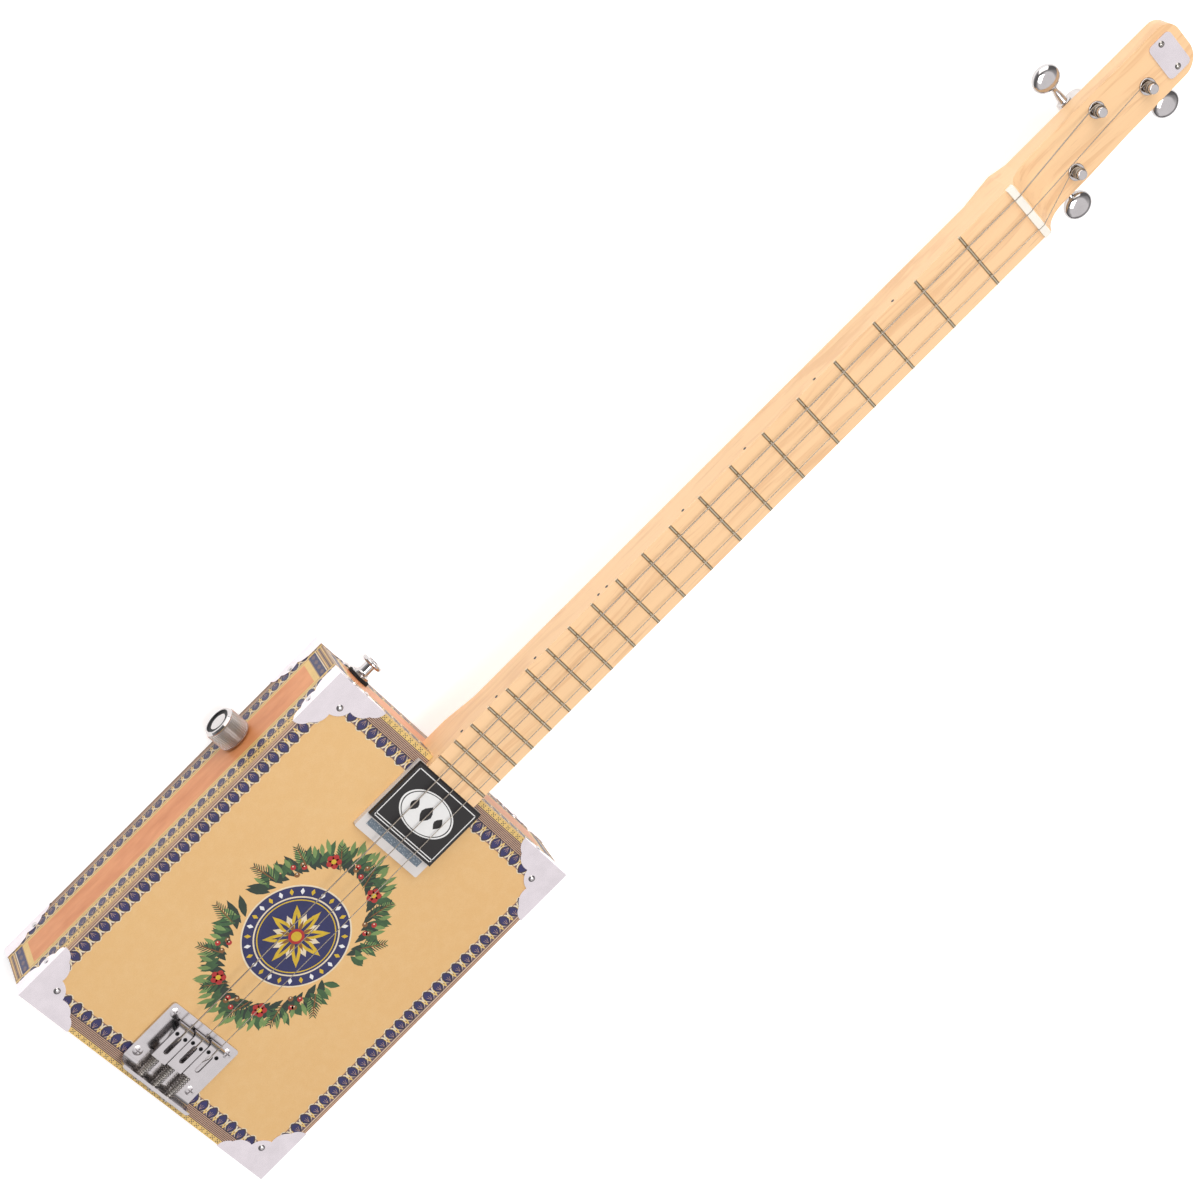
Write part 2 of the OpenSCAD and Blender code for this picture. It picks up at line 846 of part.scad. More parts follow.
module bridge_screw_sites() {
    for (x = [lip_x + plate_sheet + plate_bend + bridge_screw_in, lip_x + plate_len - bridge_screw_in],
         y = [-1, 1])
        translate([x, y * (plate_wid / 2 - bridge_screw_in), plate_top - wood_screw_len])
            children();
}

module bridge_plate() {
    turn = plate_bend + plate_sheet;
    color(chrome)
        difference() {
            intersection() {
                translate([lip_x, 0, box_dep])
                    along_y(plate_wid) {
                        translate([turn, 0])
                            square([plate_len - turn, plate_sheet]);
                        translate([turn, turn])
                            rotate(180)
                                quarter_ring(turn, plate_bend);
                        translate([0, turn])
                            square([plate_sheet, lip_ht - turn]);
                    }
                translate([lip_x + plate_len / 2, 0, 0])
                    linear_extrude(height = 2 * box_dep)
                        rounded_rectangle(plate_len, plate_wid, plate_corner);
            }
            bridge_screw_sites()
                wood_screw_hole();
            for (side = SIDES) {
                translate([lip_x, saddle_y(side), screw_z])
                    rod_x(int_screw_r + running, -1, plate_sheet + 1);
                translate([lip_x, saddle_y(side), low_z])
                    rod_x(string_hole_r, -1, turn);
            }
        }
}

// Profile of a saddle from the crest's centre: flat top, round crest and rear tab
crest_r = 3;
tab_z = plate_top + 1.45;
front_z = plate_top + 1.2;
module saddle_profile() {
    top = box_dep + saddle_ht;
    translate([-saddle_len, top - saddle_sheet])
        square([saddle_len + eps, saddle_sheet]);
    translate([0, top - crest_r])
        quarter_ring(crest_r, crest_r - saddle_sheet);
    translate([crest_r - saddle_sheet, front_z])
        square([saddle_sheet, top - crest_r - front_z + eps]);
    translate([-saddle_len, tab_z])
        square([saddle_sheet + 0.3, top - tab_z]);
}

grub_x = -2.5;
grub_y = 3.1;
module grub_sites(side) {
    for (way = [-1, 1])
        translate([crest_x(side) + grub_x, saddle_y(side) + way * grub_y, 0])
            children();
}

module saddle(side) {
    slot_r = 1.6;
    slot_from = -15.8;
    slot_to = -2.9;
    color(chrome)
        difference() {
            translate([crest_x(side), saddle_y(side), 0])
                difference() {
                    along_y(saddle_wid)
                        saddle_profile();
                    translate([0, 0, plate_top + 3])
                        linear_extrude(height = 10) {
                            translate([slot_from + slot_r, -slot_r])
                                square([slot_to - slot_from - 2 * slot_r, 2 * slot_r]);
                            for (x = [slot_from + slot_r, slot_to - slot_r])
                                translate([x, 0])
                                    circle(slot_r);
                        }
                    translate([0, 0, screw_z])
                        rod_x(int_screw_r + running, -saddle_len - 1, -saddle_len + 3);
                }
            grub_sites(side)
                translate([0, 0, plate_top])
                    cylinder(r = height_screw_r, h = saddle_ht);
        }
}
module saddle_bass() saddle("bass");
module saddle_middle() saddle("middle");
module saddle_treble() saddle("treble");

module height_screws(side) {
    hex_r = 0.55 * height_screw_r;
    color(black)
        grub_sites(side)
            difference() {
                translate([0, 0, plate_top + running])
                    cylinder(r = height_screw_r, h = saddle_ht - plate_sheet - running + 0.2);
                translate([0, 0, box_dep + saddle_ht - 1])
                    cylinder(r = hex_r, h = 2, $fn = 6);
            }
}
module height_screws_bass() height_screws("bass");
module height_screws_middle() height_screws("middle");
module height_screws_treble() height_screws("treble");

module intonation_screw(side) {
    head_r = 2;
    head_len = 1.8;
    reach = crest_x(side) - saddle_len + saddle_sheet + saddle_travel + 1.2 - lip_x;
    color(steel)
        translate([lip_x, saddle_y(side), screw_z])
            difference() {
                union() {
                    rod_x(int_screw_r, -running - eps, reach);
                    rod_x(head_r, -running - head_len, -running);
                }
                translate([-running - head_len - 1, 0, 0]) {
                    for (a = [0, 90])
                        rotate([a, 0, 0])
                            translate([0, -0.3, -1.3])
                                cube([1.9, 0.6, 2.6]);
                }
            }
}
module intonation_screw_bass() intonation_screw("bass");
module intonation_screw_middle() intonation_screw("middle");
module intonation_screw_treble() intonation_screw("treble");

// Spring: one closed helix from the lip to the saddle's tab, with ends ground square
spring_gap = running;
function spring_len(side) = crest_x(side) - saddle_len - lip_face - 2 * spring_gap;
function spring_path(side) =
    let (
        r = spring_r - spring_wire / 2, n = 8 * spring_curls,
        run = spring_len(side) - spring_wire
    )
    [for (i = [0 : n])
        [spring_wire / 2 + run * i / n, r * cos(360 * i / 8), r * sin(360 * i / 8)]];

module spring(side) {
    color(steel)
        translate([lip_face + spring_gap, saddle_y(side), screw_z])
            tube(spring_path(side), spring_wire / 2, 6, [1, 0, 0]);
}
module spring_bass() spring("bass");
module spring_middle() spring("middle");
module spring_treble() spring("treble");

// Tuners

worm_z = -5.6;
housing_ht = 9.4;
cover_plate = 1.1;
near_wall = 7.2;
far_wall = -8;
lug_r = 2.4;
lug_at = [0, -10, 0];
top_wall = 1.8;
wheel_thk = 2.4;
stem_flange = 1.5;

// Draws the children with the post's axis at the origin, the headstock's back at z = 0,
// the button towards +y and the worm towards +x
module place_tuner(side) {
    translate([post_x(side), post_y(side), blank_bottom])
        mirror([worm_way(side) < 0 ? 1 : 0, 0, 0])
            mirror([0, button_way(side) < 0 ? 1 : 0, 0])
                children();
}

module housing_outline() {
    worm_wall = 3.9;
    circle(7);
    translate([0, far_wall])
        square([axle_dist + worm_wall - 1, near_wall - far_wall]);
    translate([axle_dist, far_wall + 1])
        square([worm_wall, near_wall - far_wall - 2]);
    for (y = [far_wall + 1, near_wall - 1])
        translate([axle_dist + worm_wall - 1, y])
            circle(1);
    translate([lug_at[0], lug_at[1]])
        circle(lug_r);
    translate([-lug_r, lug_at[1]])
        square([2 * lug_r, -lug_at[1]]);
}

module tuner_housing(side) {
    color(chrome)
        place_tuner(side)
            difference() {
                translate([0, 0, -housing_ht])
                    linear_extrude(height = housing_ht)
                        housing_outline();
                translate([0, 0, -housing_ht - 1])
                    cylinder(r = wheel_tip_r + 0.35, h = housing_ht - top_wall + 1);
                translate([axle_dist - worm_pocket_r, far_wall + 2, -housing_ht - 1])
                    cube([2 * worm_pocket_r, near_wall - far_wall - 4, housing_ht - top_wall + 1]);
                translate([0, 0, -housing_ht])
                    cylinder(r = post_r + running, h = housing_ht + 1);
                translate([axle_dist, 0, worm_z]) {
                    rod_y(worm_journal_r + running, near_wall - 3, near_wall + 1);
                    rod_y(worm_stub_r + running, far_wall + 0.8, far_wall + 3);
                }
                translate([lug_at[0], lug_at[1], -housing_ht - 1])
                    cylinder(r = small_screw_r, h = housing_ht + 2, $fn = 24);
                translate([lug_at[0] - lug_r - 1, lug_at[1] - lug_r - 1, -housing_ht - 1])
                    cube([2 * lug_r + 2, 2 * lug_r + 1, housing_ht - 1.5 + 1]);
            }
}
module tuner_housing_bass() tuner_housing("bass");
module tuner_housing_middle() tuner_housing("middle");
module tuner_housing_treble() tuner_housing("treble");

module tuner_covers() {
    color(chrome)
        for (side = SIDES)
            place_tuner(side)
                translate([0, 0, -housing_ht - cover_plate])
                    linear_extrude(height = cover_plate)
                        intersection() {
                            housing_outline();
                            translate([-neck_wid / 2, far_wall])
                                square([neck_wid, near_wall - far_wall]);
                        }
}

module tuner_ferrules() {
    color(chrome)
        for (side = SIDES)
            translate([post_x(side), post_y(side), head_face])
                rotate_extrude()
                    difference() {
                        union() {
                            square([ferrule_r - 0.4, ferrule_thk]);
                            square([ferrule_r, ferrule_thk - 0.4]);
                            translate([ferrule_r - 0.4, ferrule_thk - 0.4])
                                circle(0.4);
                            translate([0, -7])
                                square([post_hole_r, 7]);
                        }
                        translate([-1, -8])
                            square([1 + post_r + running, 10]);
                    }
}

// Post: waisted above the ferrule, with a cross hole, and a seat for the wheel below
module tuner_post(side) {
    seat_z = blank_bottom + worm_z - wheel_thk / 2;
    hole_z = winding_path(side)[len(winding_path(side)) - 1][2];
    hole_r = string_dia(side) / 2 + 0.15;
    color(chrome)
        difference() {
            translate([post_x(side), post_y(side), 0])
                rotate_extrude() {
                    translate([0, seat_z - 0.6])
                        square([wheel_seat_r, 1]);
                    translate([0, seat_z])
                        square([wheel_seat_r, wheel_thk + 0.2]);
                    translate([0, seat_z + wheel_thk])
                        square([post_r, head_face + post_ht - seat_z - wheel_thk - 0.6]);
                    translate([0, head_face + post_ht - 0.6])
                        square([post_r - 0.6, 0.6]);
                    intersection() {
                        translate([post_r - 0.6, head_face + post_ht - 0.6])
                            circle(0.6);
                        square([post_r, 2 * box_dep]);
                    }
                }
            translate([post_x(side), post_y(side) - string_dia(side), hole_z])
                rod_x(hole_r, -post_r - 1, post_r + 1, $fn = 24);
        }
}
module tuner_post_bass() tuner_post("bass");
module tuner_post_middle() tuner_post("middle");
module tuner_post_treble() tuner_post("treble");

// Worm and wheel: the worm's lead is one tooth of the wheel
wheel_pitch_r = axle_dist - worm_pitch_r;
lead = 2 * PI * wheel_pitch_r / wheel_teeth;
addendum = 0.27 * lead;
dedendum = 0.32 * lead;
wheel_tip_r = wheel_pitch_r + addendum;
wheel_root_r = wheel_pitch_r - dedendum;
worm_tip_r = worm_pitch_r + addendum;
worm_root_r = worm_pitch_r - dedendum;
worm_journal_r = worm_tip_r + 0.1;
worm_pocket_r = worm_tip_r + 0.3;
worm_stub_r = 1.3;
wheel_seat_r = 2.2;
worm_turns = 4;

module tuner_wheel(side) {
    root_half = 0.21 * lead;
    tip_half = 0.07 * lead;
    color("#c2a25a")
        translate([post_x(side), post_y(side), blank_bottom + worm_z - wheel_thk / 2])
            linear_extrude(height = wheel_thk)
                difference() {
                    union() {
                        circle(wheel_root_r);
                        for (i = [0 : wheel_teeth - 1])
                            rotate(360 * i / wheel_teeth)
                                polygon([
                                    [wheel_root_r - 0.3, -root_half], [wheel_tip_r, -tip_half],
                                    [wheel_tip_r, tip_half], [wheel_root_r - 0.3, root_half]
                                ]);
                    }
                    circle(wheel_seat_r);
                }
}
module tuner_wheel_bass() tuner_wheel("bass");
module tuner_wheel_middle() tuner_wheel("middle");
module tuner_wheel_treble() tuner_wheel("treble");

// Thread of the worm along +y: a ridge of four corners swept round a helix of 24 steps a turn.
// Facing the wheel, at angle 0, the ridges stand half a lead either side of y = 0
module worm_thread(hand) {
    steps = 24 * worm_turns;
    sunk = 0.15;
    root_half = 0.21 * lead;
    tip_half = 0.08 * lead;
    corners = [[worm_root_r - sunk, -root_half], [worm_tip_r, -tip_half],
        [worm_tip_r, tip_half], [worm_root_r - sunk, root_half]];
    points = [for (i = [0 : steps])
        let (a = hand * 360 * (i / 24 - worm_turns / 2), y = lead * (i / 24 - worm_turns / 2 + 0.5))
        each [for (c = corners) [-c[0] * cos(a), y + c[1], c[0] * sin(a)]]];
    last = 4 * steps;
    quads = [for (i = [0 : steps - 1], k = [0 : 3])
        let (a = 4 * i + k, b = 4 * i + (k + 1) % 4)
        hand > 0 ? [a, b, b + 4, a + 4] : [a, a + 4, b + 4, b]];
    skin = [for (q = quads) each [[q[0], q[1], q[2]], [q[0], q[2], q[3]]]];
    ends = hand > 0 ? [[3, 2, 1, 0], [last, last + 1, last + 2, last + 3]]
        : [[0, 1, 2, 3], [last + 3, last + 2, last + 1, last]];
    polyhedron(points = points, faces = concat(skin, ends), convexity = 10);
}

module tuner_worm(side) {
    hand = worm_way(side) * button_way(side);
    color(steel)
        place_tuner(side)
            translate([axle_dist, 0, worm_z]) {
                rod_y(worm_root_r, -5.5, near_wall);
                rod_y(worm_stub_r, far_wall + 0.8 + running, -5.4);
                rod_y(worm_journal_r, near_wall - 2.2, near_wall + running);
                rod_y(stem_bore_r, near_wall, near_wall + stem_flange + 7);
                worm_thread(hand);
            }
}
module tuner_worm_bass() tuner_worm("bass");
module tuner_worm_middle() tuner_worm("middle");
module tuner_worm_treble() tuner_worm("treble");

// Button: domed oval with a tapered stem and a flange that turns against the housing
stem_bore_r = 1.4;
module tuner_button(side) {
    round_r = button_len / 2;
    dome_rise = 1.5;
    dome_r = (pow(button_wid / 2, 2) + pow(dome_rise, 2)) / (2 * dome_rise);
    stem_from = near_wall + running;
    stem_len = button_out - round_r - stem_from - stem_flange + 1;
    color(chrome)
        place_tuner(side)
            translate([axle_dist, 0, worm_z])
                difference() {
                    union() {
                        translate([0, button_out, 0])
                            intersection() {
                                linear_extrude(height = button_thk, center = true) {
                                    square([button_wid - button_len, button_len], center = true);
                                    for (way = [-1, 1])
                                        translate([way * (button_wid - button_len) / 2, 0])
                                            circle(round_r);
                                }
                                translate([0, 0, button_thk / 2 - dome_r])
                                    sphere(dome_r);
                                translate([0, 0, dome_r - button_thk / 2])
                                    sphere(dome_r);
                            }
                        translate([0, stem_from, 0])
                            rotate([-90, 0, 0]) {
                                cylinder(r = 4.2, h = stem_flange);
                                translate([0, 0, stem_flange - eps])
                                    cylinder(r1 = 3, r2 = 2.2, h = stem_len);
                            }
                    }
                    rod_y(stem_bore_r, near_wall, near_wall + stem_flange + 7);
                }
}
module tuner_button_bass() tuner_button("bass");
module tuner_button_middle() tuner_button("middle");
module tuner_button_treble() tuner_button("treble");

// Name plate, left plain, and the small screws

small_screw_r = 0.9;
small_screw_len = 6;
name_screw_y = 8.5;

module name_screw_sites() {
    for (way = [-1, 1])
        translate([tip_x - name_back, way * name_screw_y, head_face])
            children();
}

module name_plate() {
    color(chrome)
        difference() {
            translate([tip_x - name_back, 0, head_face])
                linear_extrude(height = name_thk)
                    rounded_rectangle(name_len, name_wid, 3);
            name_screw_sites()
                cylinder(r = small_screw_r, h = 5, $fn = 24);
        }
}

// A small round-head screw with its head's underside at z = 0 and its point below
module small_screw() {
    head_r = 1.9;
    head_ht = 1;
    translate([0, 0, -small_screw_len])
        cylinder(r = small_screw_r, h = small_screw_len + eps, $fn = 24);
    difference() {
        intersection() {
            translate([0, 0, head_ht - 2.3])
                sphere(2.3);
            cylinder(r = head_r, h = head_ht);
        }
        translate([-1.2, -0.25, head_ht - 0.4])
            cube([2.4, 0.5, 1]);
        translate([-0.25, -1.2, head_ht - 0.4])
            cube([0.5, 2.4, 1]);
    }
}

module headstock_screws() {
    color(steel) {
        name_screw_sites()
            translate([0, 0, name_thk])
                small_screw();
        for (side = SIDES)
            place_tuner(side)
                translate([lug_at[0], lug_at[1], -1.5])
                    rotate([180, 0, 0])
                        small_screw();
    }
}

// Countersunk cross-head screws of the bridge and the strap button

wood_screw_r = 1.5;
wood_screw_len = 14;
wood_head_r = 3.1;
wood_head_ht = 1.7;
strap_screw_r = wood_screw_r;
strap_screw_len = 14;

// A screw with its point at z = 0 and the rim of its head at z = length
module wood_screw(length) {
    difference() {
        union() {
            cylinder(r = wood_screw_r, h = length);
            translate([0, 0, length - wood_head_ht])
                cylinder(r1 = wood_screw_r, r2 = wood_head_r, h = wood_head_ht);
            intersection() {
                translate([0, 0, length - 9])
                    sphere(9.5);
                translate([0, 0, length - eps])
                    cylinder(r = wood_head_r, h = 1);
            }
        }
        for (a = [0, 90])
            translate([0, 0, length])
                rotate([0, 0, a])
                    cube([3.6, 0.7, 2], center = true);
    }
}

module wood_screw_hole() {
    cylinder(r = wood_screw_r, h = wood_screw_len + 1);
    translate([0, 0, wood_screw_len - wood_head_ht])
        cylinder(r1 = wood_screw_r, r2 = wood_head_r, h = wood_head_ht);
    translate([0, 0, wood_screw_len])
        cylinder(r = wood_head_r, h = 1);
}

module wood_screws() {
    color(steel) {
        bridge_screw_sites()
            wood_screw(wood_screw_len);
        place_strap()
            translate([-strap_screw_len, 0, 0])
                rotate([0, 90, 0])
                    wood_screw(strap_screw_len + felt_thk + strap_ht - 1);
    }
}

// Draws the children at the strap button, with +x pointing out of the box
module place_strap() {
    translate([half_len, strap_y, strap_z])
        children();
}

module strap_button() {
    h = strap_ht;
    color(chrome)
        place_strap()
            translate([felt_thk, 0, 0])
                rotate([0, 90, 0])
                    difference() {
                        rotate_extrude() {
                            square([strap_waist_r, h - 0.5]);
                            square([strap_r - 1, 1.4]);
                            translate([0, 1.4])
                                difference() {
                                    square([strap_r - 1, 2]);
                                    translate([strap_r - 1, 2])
                                        circle(2);
                                }
                            translate([0, h - 2.6])
                                square([strap_r - 0.8, 2.6]);
                            translate([strap_r - 1.3, h - 1.3])
                                circle(1.3);
                        }
                        translate([0, 0, h - 1 - strap_screw_len])
                            strap_screw_hole();
                    }
}

module strap_screw_hole() {
    cylinder(r = wood_screw_r, h = strap_screw_len + 10);
    translate([0, 0, strap_screw_len - wood_head_ht])
        cylinder(r1 = wood_screw_r, r2 = wood_head_r, h = wood_head_ht);
    translate([0, 0, strap_screw_len])
        cylinder(r = wood_head_r, h = 3);
}

module felt_washer() {
    color(black)
        place_strap()
            difference() {
                rod_x(felt_r, 0, felt_thk);
                rod_x(wood_screw_r, -1, felt_thk + 1);
            }
}

// Pickup

pickup_x = fingerboard_end - pickup_len / 2;

module pickup_base() {
    color("#d8d6d2")
        difference() {
            translate([pickup_x, 0, box_dep])
                linear_extrude(height = base_thk)
                    rounded_rectangle(pickup_len, pickup_wid, 1);
            translate([0, 0, box_dep - 1])
                pickup_lead_site()
                    cylinder(r = lead_hole_r, h = 2.5);
        }
}

// Folded cover: a round fold at the neck side and a square edge at the tail side
module pickup_cover() {
    fold = cover_thk / 2;
    color(black)
        translate([fingerboard_end, 0, box_dep + base_thk])
            along_y(pickup_wid - 1) {
                translate([-cover_len, 0])
                    square([cover_len - fold, cover_thk]);
                translate([-fold, fold])
                    circle(fold);
            }
}

// Volume control and output socket

module knob() {
    cap = 4;
    recess_r = 6.8;
    recess = 3.2;
    color(chrome)
        translate([knob_at, half_wid + knob_gap, knob_z])
            rotate([-90, 0, 0])
                difference() {
                    rotate_extrude() {
                        square([knob_r, knob_len - cap]);
                        polygon([
                            [0, knob_len - cap - eps], [knob_r, knob_len - cap - eps],
                            [knob_r - 0.3, knob_len - cap + 1], [0.78 * knob_r, knob_len - 0.8],
                            [0.6 * knob_r, knob_len], [0, knob_len]
                        ]);
                    }
                    translate([0, 0, -1])
                        cylinder(r = recess_r, h = recess + 1);
                    cylinder(r = shaft_r, h = knob_len - 3);
                }
}

module control_shaft() {
    color(steel)
        translate([knob_at, half_wid, knob_z])
            rod_y(shaft_r, -wall_thk - 1, knob_gap + knob_len - 3);
}

module control_can() {
    bush_out = 2.6;
    color(steel)
        translate([knob_at, half_wid, knob_z])
            difference() {
                union() {
                    rod_y(can_r, -wall_thk - can_len, -wall_thk);
                    rod_y(bush_r, -wall_thk - eps, bush_out);
                    for (x = [-5, 0, 5])
                        translate([x - 1, -wall_thk - 2, can_r - 3])
                            cube([2, 0.8, 7]);
                }
                rod_y(shaft_r + running, -wall_thk - 1.2, bush_out + 1);
            }
}

// Hexagon nuts and washers of the control and the socket
module panel_nut(bore_r, across) {
    rod_y(across / 2 + 0.8, 0, 0.5);
    translate([0, 0.5, 0])
        rotate([-90, 0, 0])
            intersection() {
                cylinder(r = across / sqrt(3), h = 1.8, $fn = 6);
                cylinder(r = across / 2 + 0.5, h = 1.8);
            }
}

// Widths of the control's and the socket's nuts across their flats
knob_nut_wid = 11;
jack_nut_wid = 12.7;
module panel_nuts() {
    color(chrome) {
        translate([knob_at, half_wid, knob_z])
            difference() {
                panel_nut(bush_r, knob_nut_wid);
                rod_y(bush_r, -1, 4);
            }
        translate([jack_at, -half_wid, jack_z])
            mirror([0, 1, 0])
                difference() {
                    panel_nut(jack_bush_r, jack_nut_wid);
                    rod_y(jack_bush_r, -1, 4);
                }
    }
}

module output_socket() {
    barrel_r = 8;
    barrel_len = 24;
    bush_out = 2.6;
    color(steel)
        translate([jack_at, -half_wid, jack_z])
            mirror([0, 1, 0])
                difference() {
                    union() {
                        rod_y(barrel_r, -wall_thk - barrel_len, -wall_thk);
                        rod_y(jack_bush_r, -wall_thk - eps, bush_out);
                        for (z = [-3, 3])
                            translate([-1.2, -wall_thk - barrel_len - 5, z - 0.4])
                                cube([2.4, 6, 0.8]);
                    }
                    rod_y(jack_bore_r, -wall_thk - barrel_len + 2, bush_out + 1);
                }
}

for (side = SIDES) {
    echo(str("least gap of the ", side, " spring: ", least_gap(spring_path(side), 4, spring_wire), " mm"));
    echo(str("least gap of the ", side, " winding: ",
        least_gap(winding_path(side), 12, string_dia(side)), " mm"));
}

box_back();
box_side_bass();
box_side_treble();
box_end_neck();
box_end_tail();
box_lid();
corner_plates();
corner_nails();
neck();
frets();
side_dots();
nut();
bridge_plate();
string_bass();
string_middle();
string_treble();
saddle_bass();
saddle_middle();
saddle_treble();
height_screws_bass();
height_screws_middle();
height_screws_treble();
intonation_screw_bass();
intonation_screw_middle();
intonation_screw_treble();
spring_bass();
spring_middle();
spring_treble();
tuner_housing_bass();
tuner_housing_middle();
tuner_housing_treble();
tuner_covers();
tuner_ferrules();
tuner_post_bass();
tuner_post_middle();
tuner_post_treble();
tuner_wheel_bass();
tuner_wheel_middle();
tuner_wheel_treble();
tuner_worm_bass();
tuner_worm_middle();
tuner_worm_treble();
tuner_button_bass();
tuner_button_middle();
tuner_button_treble();
winding_bass();
winding_middle();
winding_treble();
name_plate();
headstock_screws();
wood_screws();
pickup_base();
pickup_cover();
knob();
control_shaft();
control_can();
panel_nuts();
output_socket();
strap_button();
felt_washer();
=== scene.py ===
"""A three-string cigar box guitar lying on a pale studio floor."""

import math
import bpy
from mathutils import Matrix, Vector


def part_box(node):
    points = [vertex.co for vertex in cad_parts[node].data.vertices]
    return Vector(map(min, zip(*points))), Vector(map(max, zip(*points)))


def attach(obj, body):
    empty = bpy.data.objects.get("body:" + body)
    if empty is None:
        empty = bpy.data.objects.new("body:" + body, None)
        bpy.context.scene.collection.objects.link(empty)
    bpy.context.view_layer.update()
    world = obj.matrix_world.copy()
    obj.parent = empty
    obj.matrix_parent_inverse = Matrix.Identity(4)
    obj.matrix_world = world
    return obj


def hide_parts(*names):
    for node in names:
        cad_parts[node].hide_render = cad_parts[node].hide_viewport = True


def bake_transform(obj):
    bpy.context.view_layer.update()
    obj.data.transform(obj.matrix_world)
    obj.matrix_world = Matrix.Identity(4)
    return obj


bl_info = {
    "name": "Cigar Box Guitar",
    "version": (1, 0, 0),
    "blender": (4, 5, 0),
    "location": "View3D > Sidebar > Guitar",
    "description": "Dresses a cigar box guitar: printed box, fittings, strings, finishes and studio",
    "category": "Object",
}

import bmesh
import bpy
from bpy.props import FloatProperty, FloatVectorProperty, IntProperty, PointerProperty
from mathutils import Matrix, Vector

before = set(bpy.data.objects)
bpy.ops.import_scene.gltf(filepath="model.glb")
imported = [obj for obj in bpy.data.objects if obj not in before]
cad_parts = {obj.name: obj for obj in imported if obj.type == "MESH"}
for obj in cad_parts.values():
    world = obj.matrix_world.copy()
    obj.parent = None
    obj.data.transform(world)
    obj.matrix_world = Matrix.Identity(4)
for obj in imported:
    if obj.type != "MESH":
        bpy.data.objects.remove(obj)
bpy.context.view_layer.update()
MM = 0.001
SIDES = ("bass", "middle", "treble")
ROOT = "guitar"
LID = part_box("box_lid")
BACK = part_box("box_back")
HALF_LEN = LID[1][0]
HALF_WID = LID[1][1]
LID_TOP = LID[1][2]
NECK_HALF = 19 * MM
NECK_BOTTOM = 33.2 * MM


# Colour and shader tools

def srgb(text):
    """Turns a hexadecimal colour into the linear colour that shaders take."""
    parts = [int(text[i:i + 2], 16) / 255 for i in (1, 3, 5)]
    return tuple(c / 12.92 if c < 0.04045 else ((c + 0.055) / 1.055) ** 2.4 for c in parts) + (1.0,)


class Wire:
    """An output socket, on which Python arithmetic adds Math nodes."""

    def __init__(self, nodes, socket):
        self.nodes = nodes
        self.socket = socket

    def _math(self, operation, *values):
        return self.nodes.node("ShaderNodeMath", {"operation": operation}, dict(enumerate(values)))

    def __add__(self, other):
        return self._math("ADD", self, other)

    def __mul__(self, other):
        return self._math("MULTIPLY", self, other)

    def clamp(self):
        return self._math("MINIMUM", self._math("MAXIMUM", self, 0.0), 1.0)


class Nodes:
    """A node tree that is emptied and then built node by node."""

    def __init__(self, tree):
        self.tree = tree
        tree.nodes.clear()

    def node(self, kind, settings=None, inputs=None, output=0):
        made = self.tree.nodes.new(kind)
        for key, value in (settings or {}).items():
            if key == "stops":
                ramp = made.color_ramp
                while len(ramp.elements) < len(value):
                    ramp.elements.new(0.5)
                for stop, (at, colour) in zip(ramp.elements, value):
                    stop.position = at
                    stop.color = colour
            else:
                setattr(made, key, value)
        for key, value in (inputs or {}).items():
            self._feed(made.inputs[key], value)
        return Wire(self, made.outputs[output]) if made.outputs else made

    def _feed(self, socket, value):
        if isinstance(value, Wire):
            self.tree.links.new(value.socket, socket)
        else:
            socket.default_value = value

    def ray(self, kind):
        """Gives 1 where the ray is of a kind, such as Camera, and 0 elsewhere."""
        return self.node("ShaderNodeLightPath", output=f"Is {kind} Ray")

    def mix(self, factor, a, b):
        return self.node("ShaderNodeMix", {"data_type": "RGBA"}, {0: factor, 6: a, 7: b}, output=2)


class Shader(Nodes):
    """A material with one surface."""

    def __init__(self, name):
        self.material = bpy.data.materials.new(name)
        self.material.use_nodes = True
        super().__init__(self.material.node_tree)
        self.place = self.node("ShaderNodeTexCoord", output="Object")
        self.surface = self.tree.nodes.new("ShaderNodeBsdfPrincipled")
        out = self.tree.nodes.new("ShaderNodeOutputMaterial")
        self.tree.links.new(self.surface.outputs[0], out.inputs[0])

    def set(self, name, value):
        self._feed(self.surface.inputs[name], value)

    def mapped(self, scale):
        return self.node("ShaderNodeMapping", {}, {"Vector": self.place, "Scale": scale})

    def noise(self, scale, detail=3.0, rough=0.5, where=None, output="Fac"):
        return self.node("ShaderNodeTexNoise", {}, {
            "Vector": where or self.place, "Scale": scale, "Detail": detail, "Roughness": rough},
            output=output)

    def spread(self, value, low, high, new_low=0.0, new_high=1.0):
        return self.node("ShaderNodeMapRange", {"clamp": True}, {
            0: value, 1: low, 2: high, 3: new_low, 4: new_high})

    def bump(self, height, strength=0.3, distance=0.0002):
        self.set("Normal", self.node("ShaderNodeBump", {}, {
            "Height": height, "Strength": strength, "Distance": distance}))


FINISHES = {}


def finish_of(name):
    """Gives a finish by name, and makes it the first time."""
    if name not in FINISHES:
        make, *values = RECIPES[name]
        FINISHES[name] = make(name, *values).material
    return FINISHES[name]


def printed(name, colour, dark=0.86, rough=0.42, streak=1.0):
    """Ink on smooth paper: a faint mottle, paper fibre and a satin sheen."""
    s = Shader(name)
    ink = srgb(colour)
    deep = tuple(c * dark for c in ink[:3]) + (1.0,)
    mottle = s.noise(60.0, 4.0, 0.6)
    fibre = s.noise(900.0, 2.0, 0.5, s.mapped((1, 0.25, 1)))
    tone = s.spread(mottle * 0.6 + fibre * 0.4, 0.35, 0.65) * streak
    s.set("Base Color", s.mix(tone, ink, deep))
    s.set("Roughness", s.spread(fibre, 0.3, 0.7, rough - 0.05, rough + 0.08))
    s.set("Coat Weight", 0.15)
    s.set("Coat Roughness", 0.25)
    s.bump(fibre, 0.08, 0.00005)
    return s


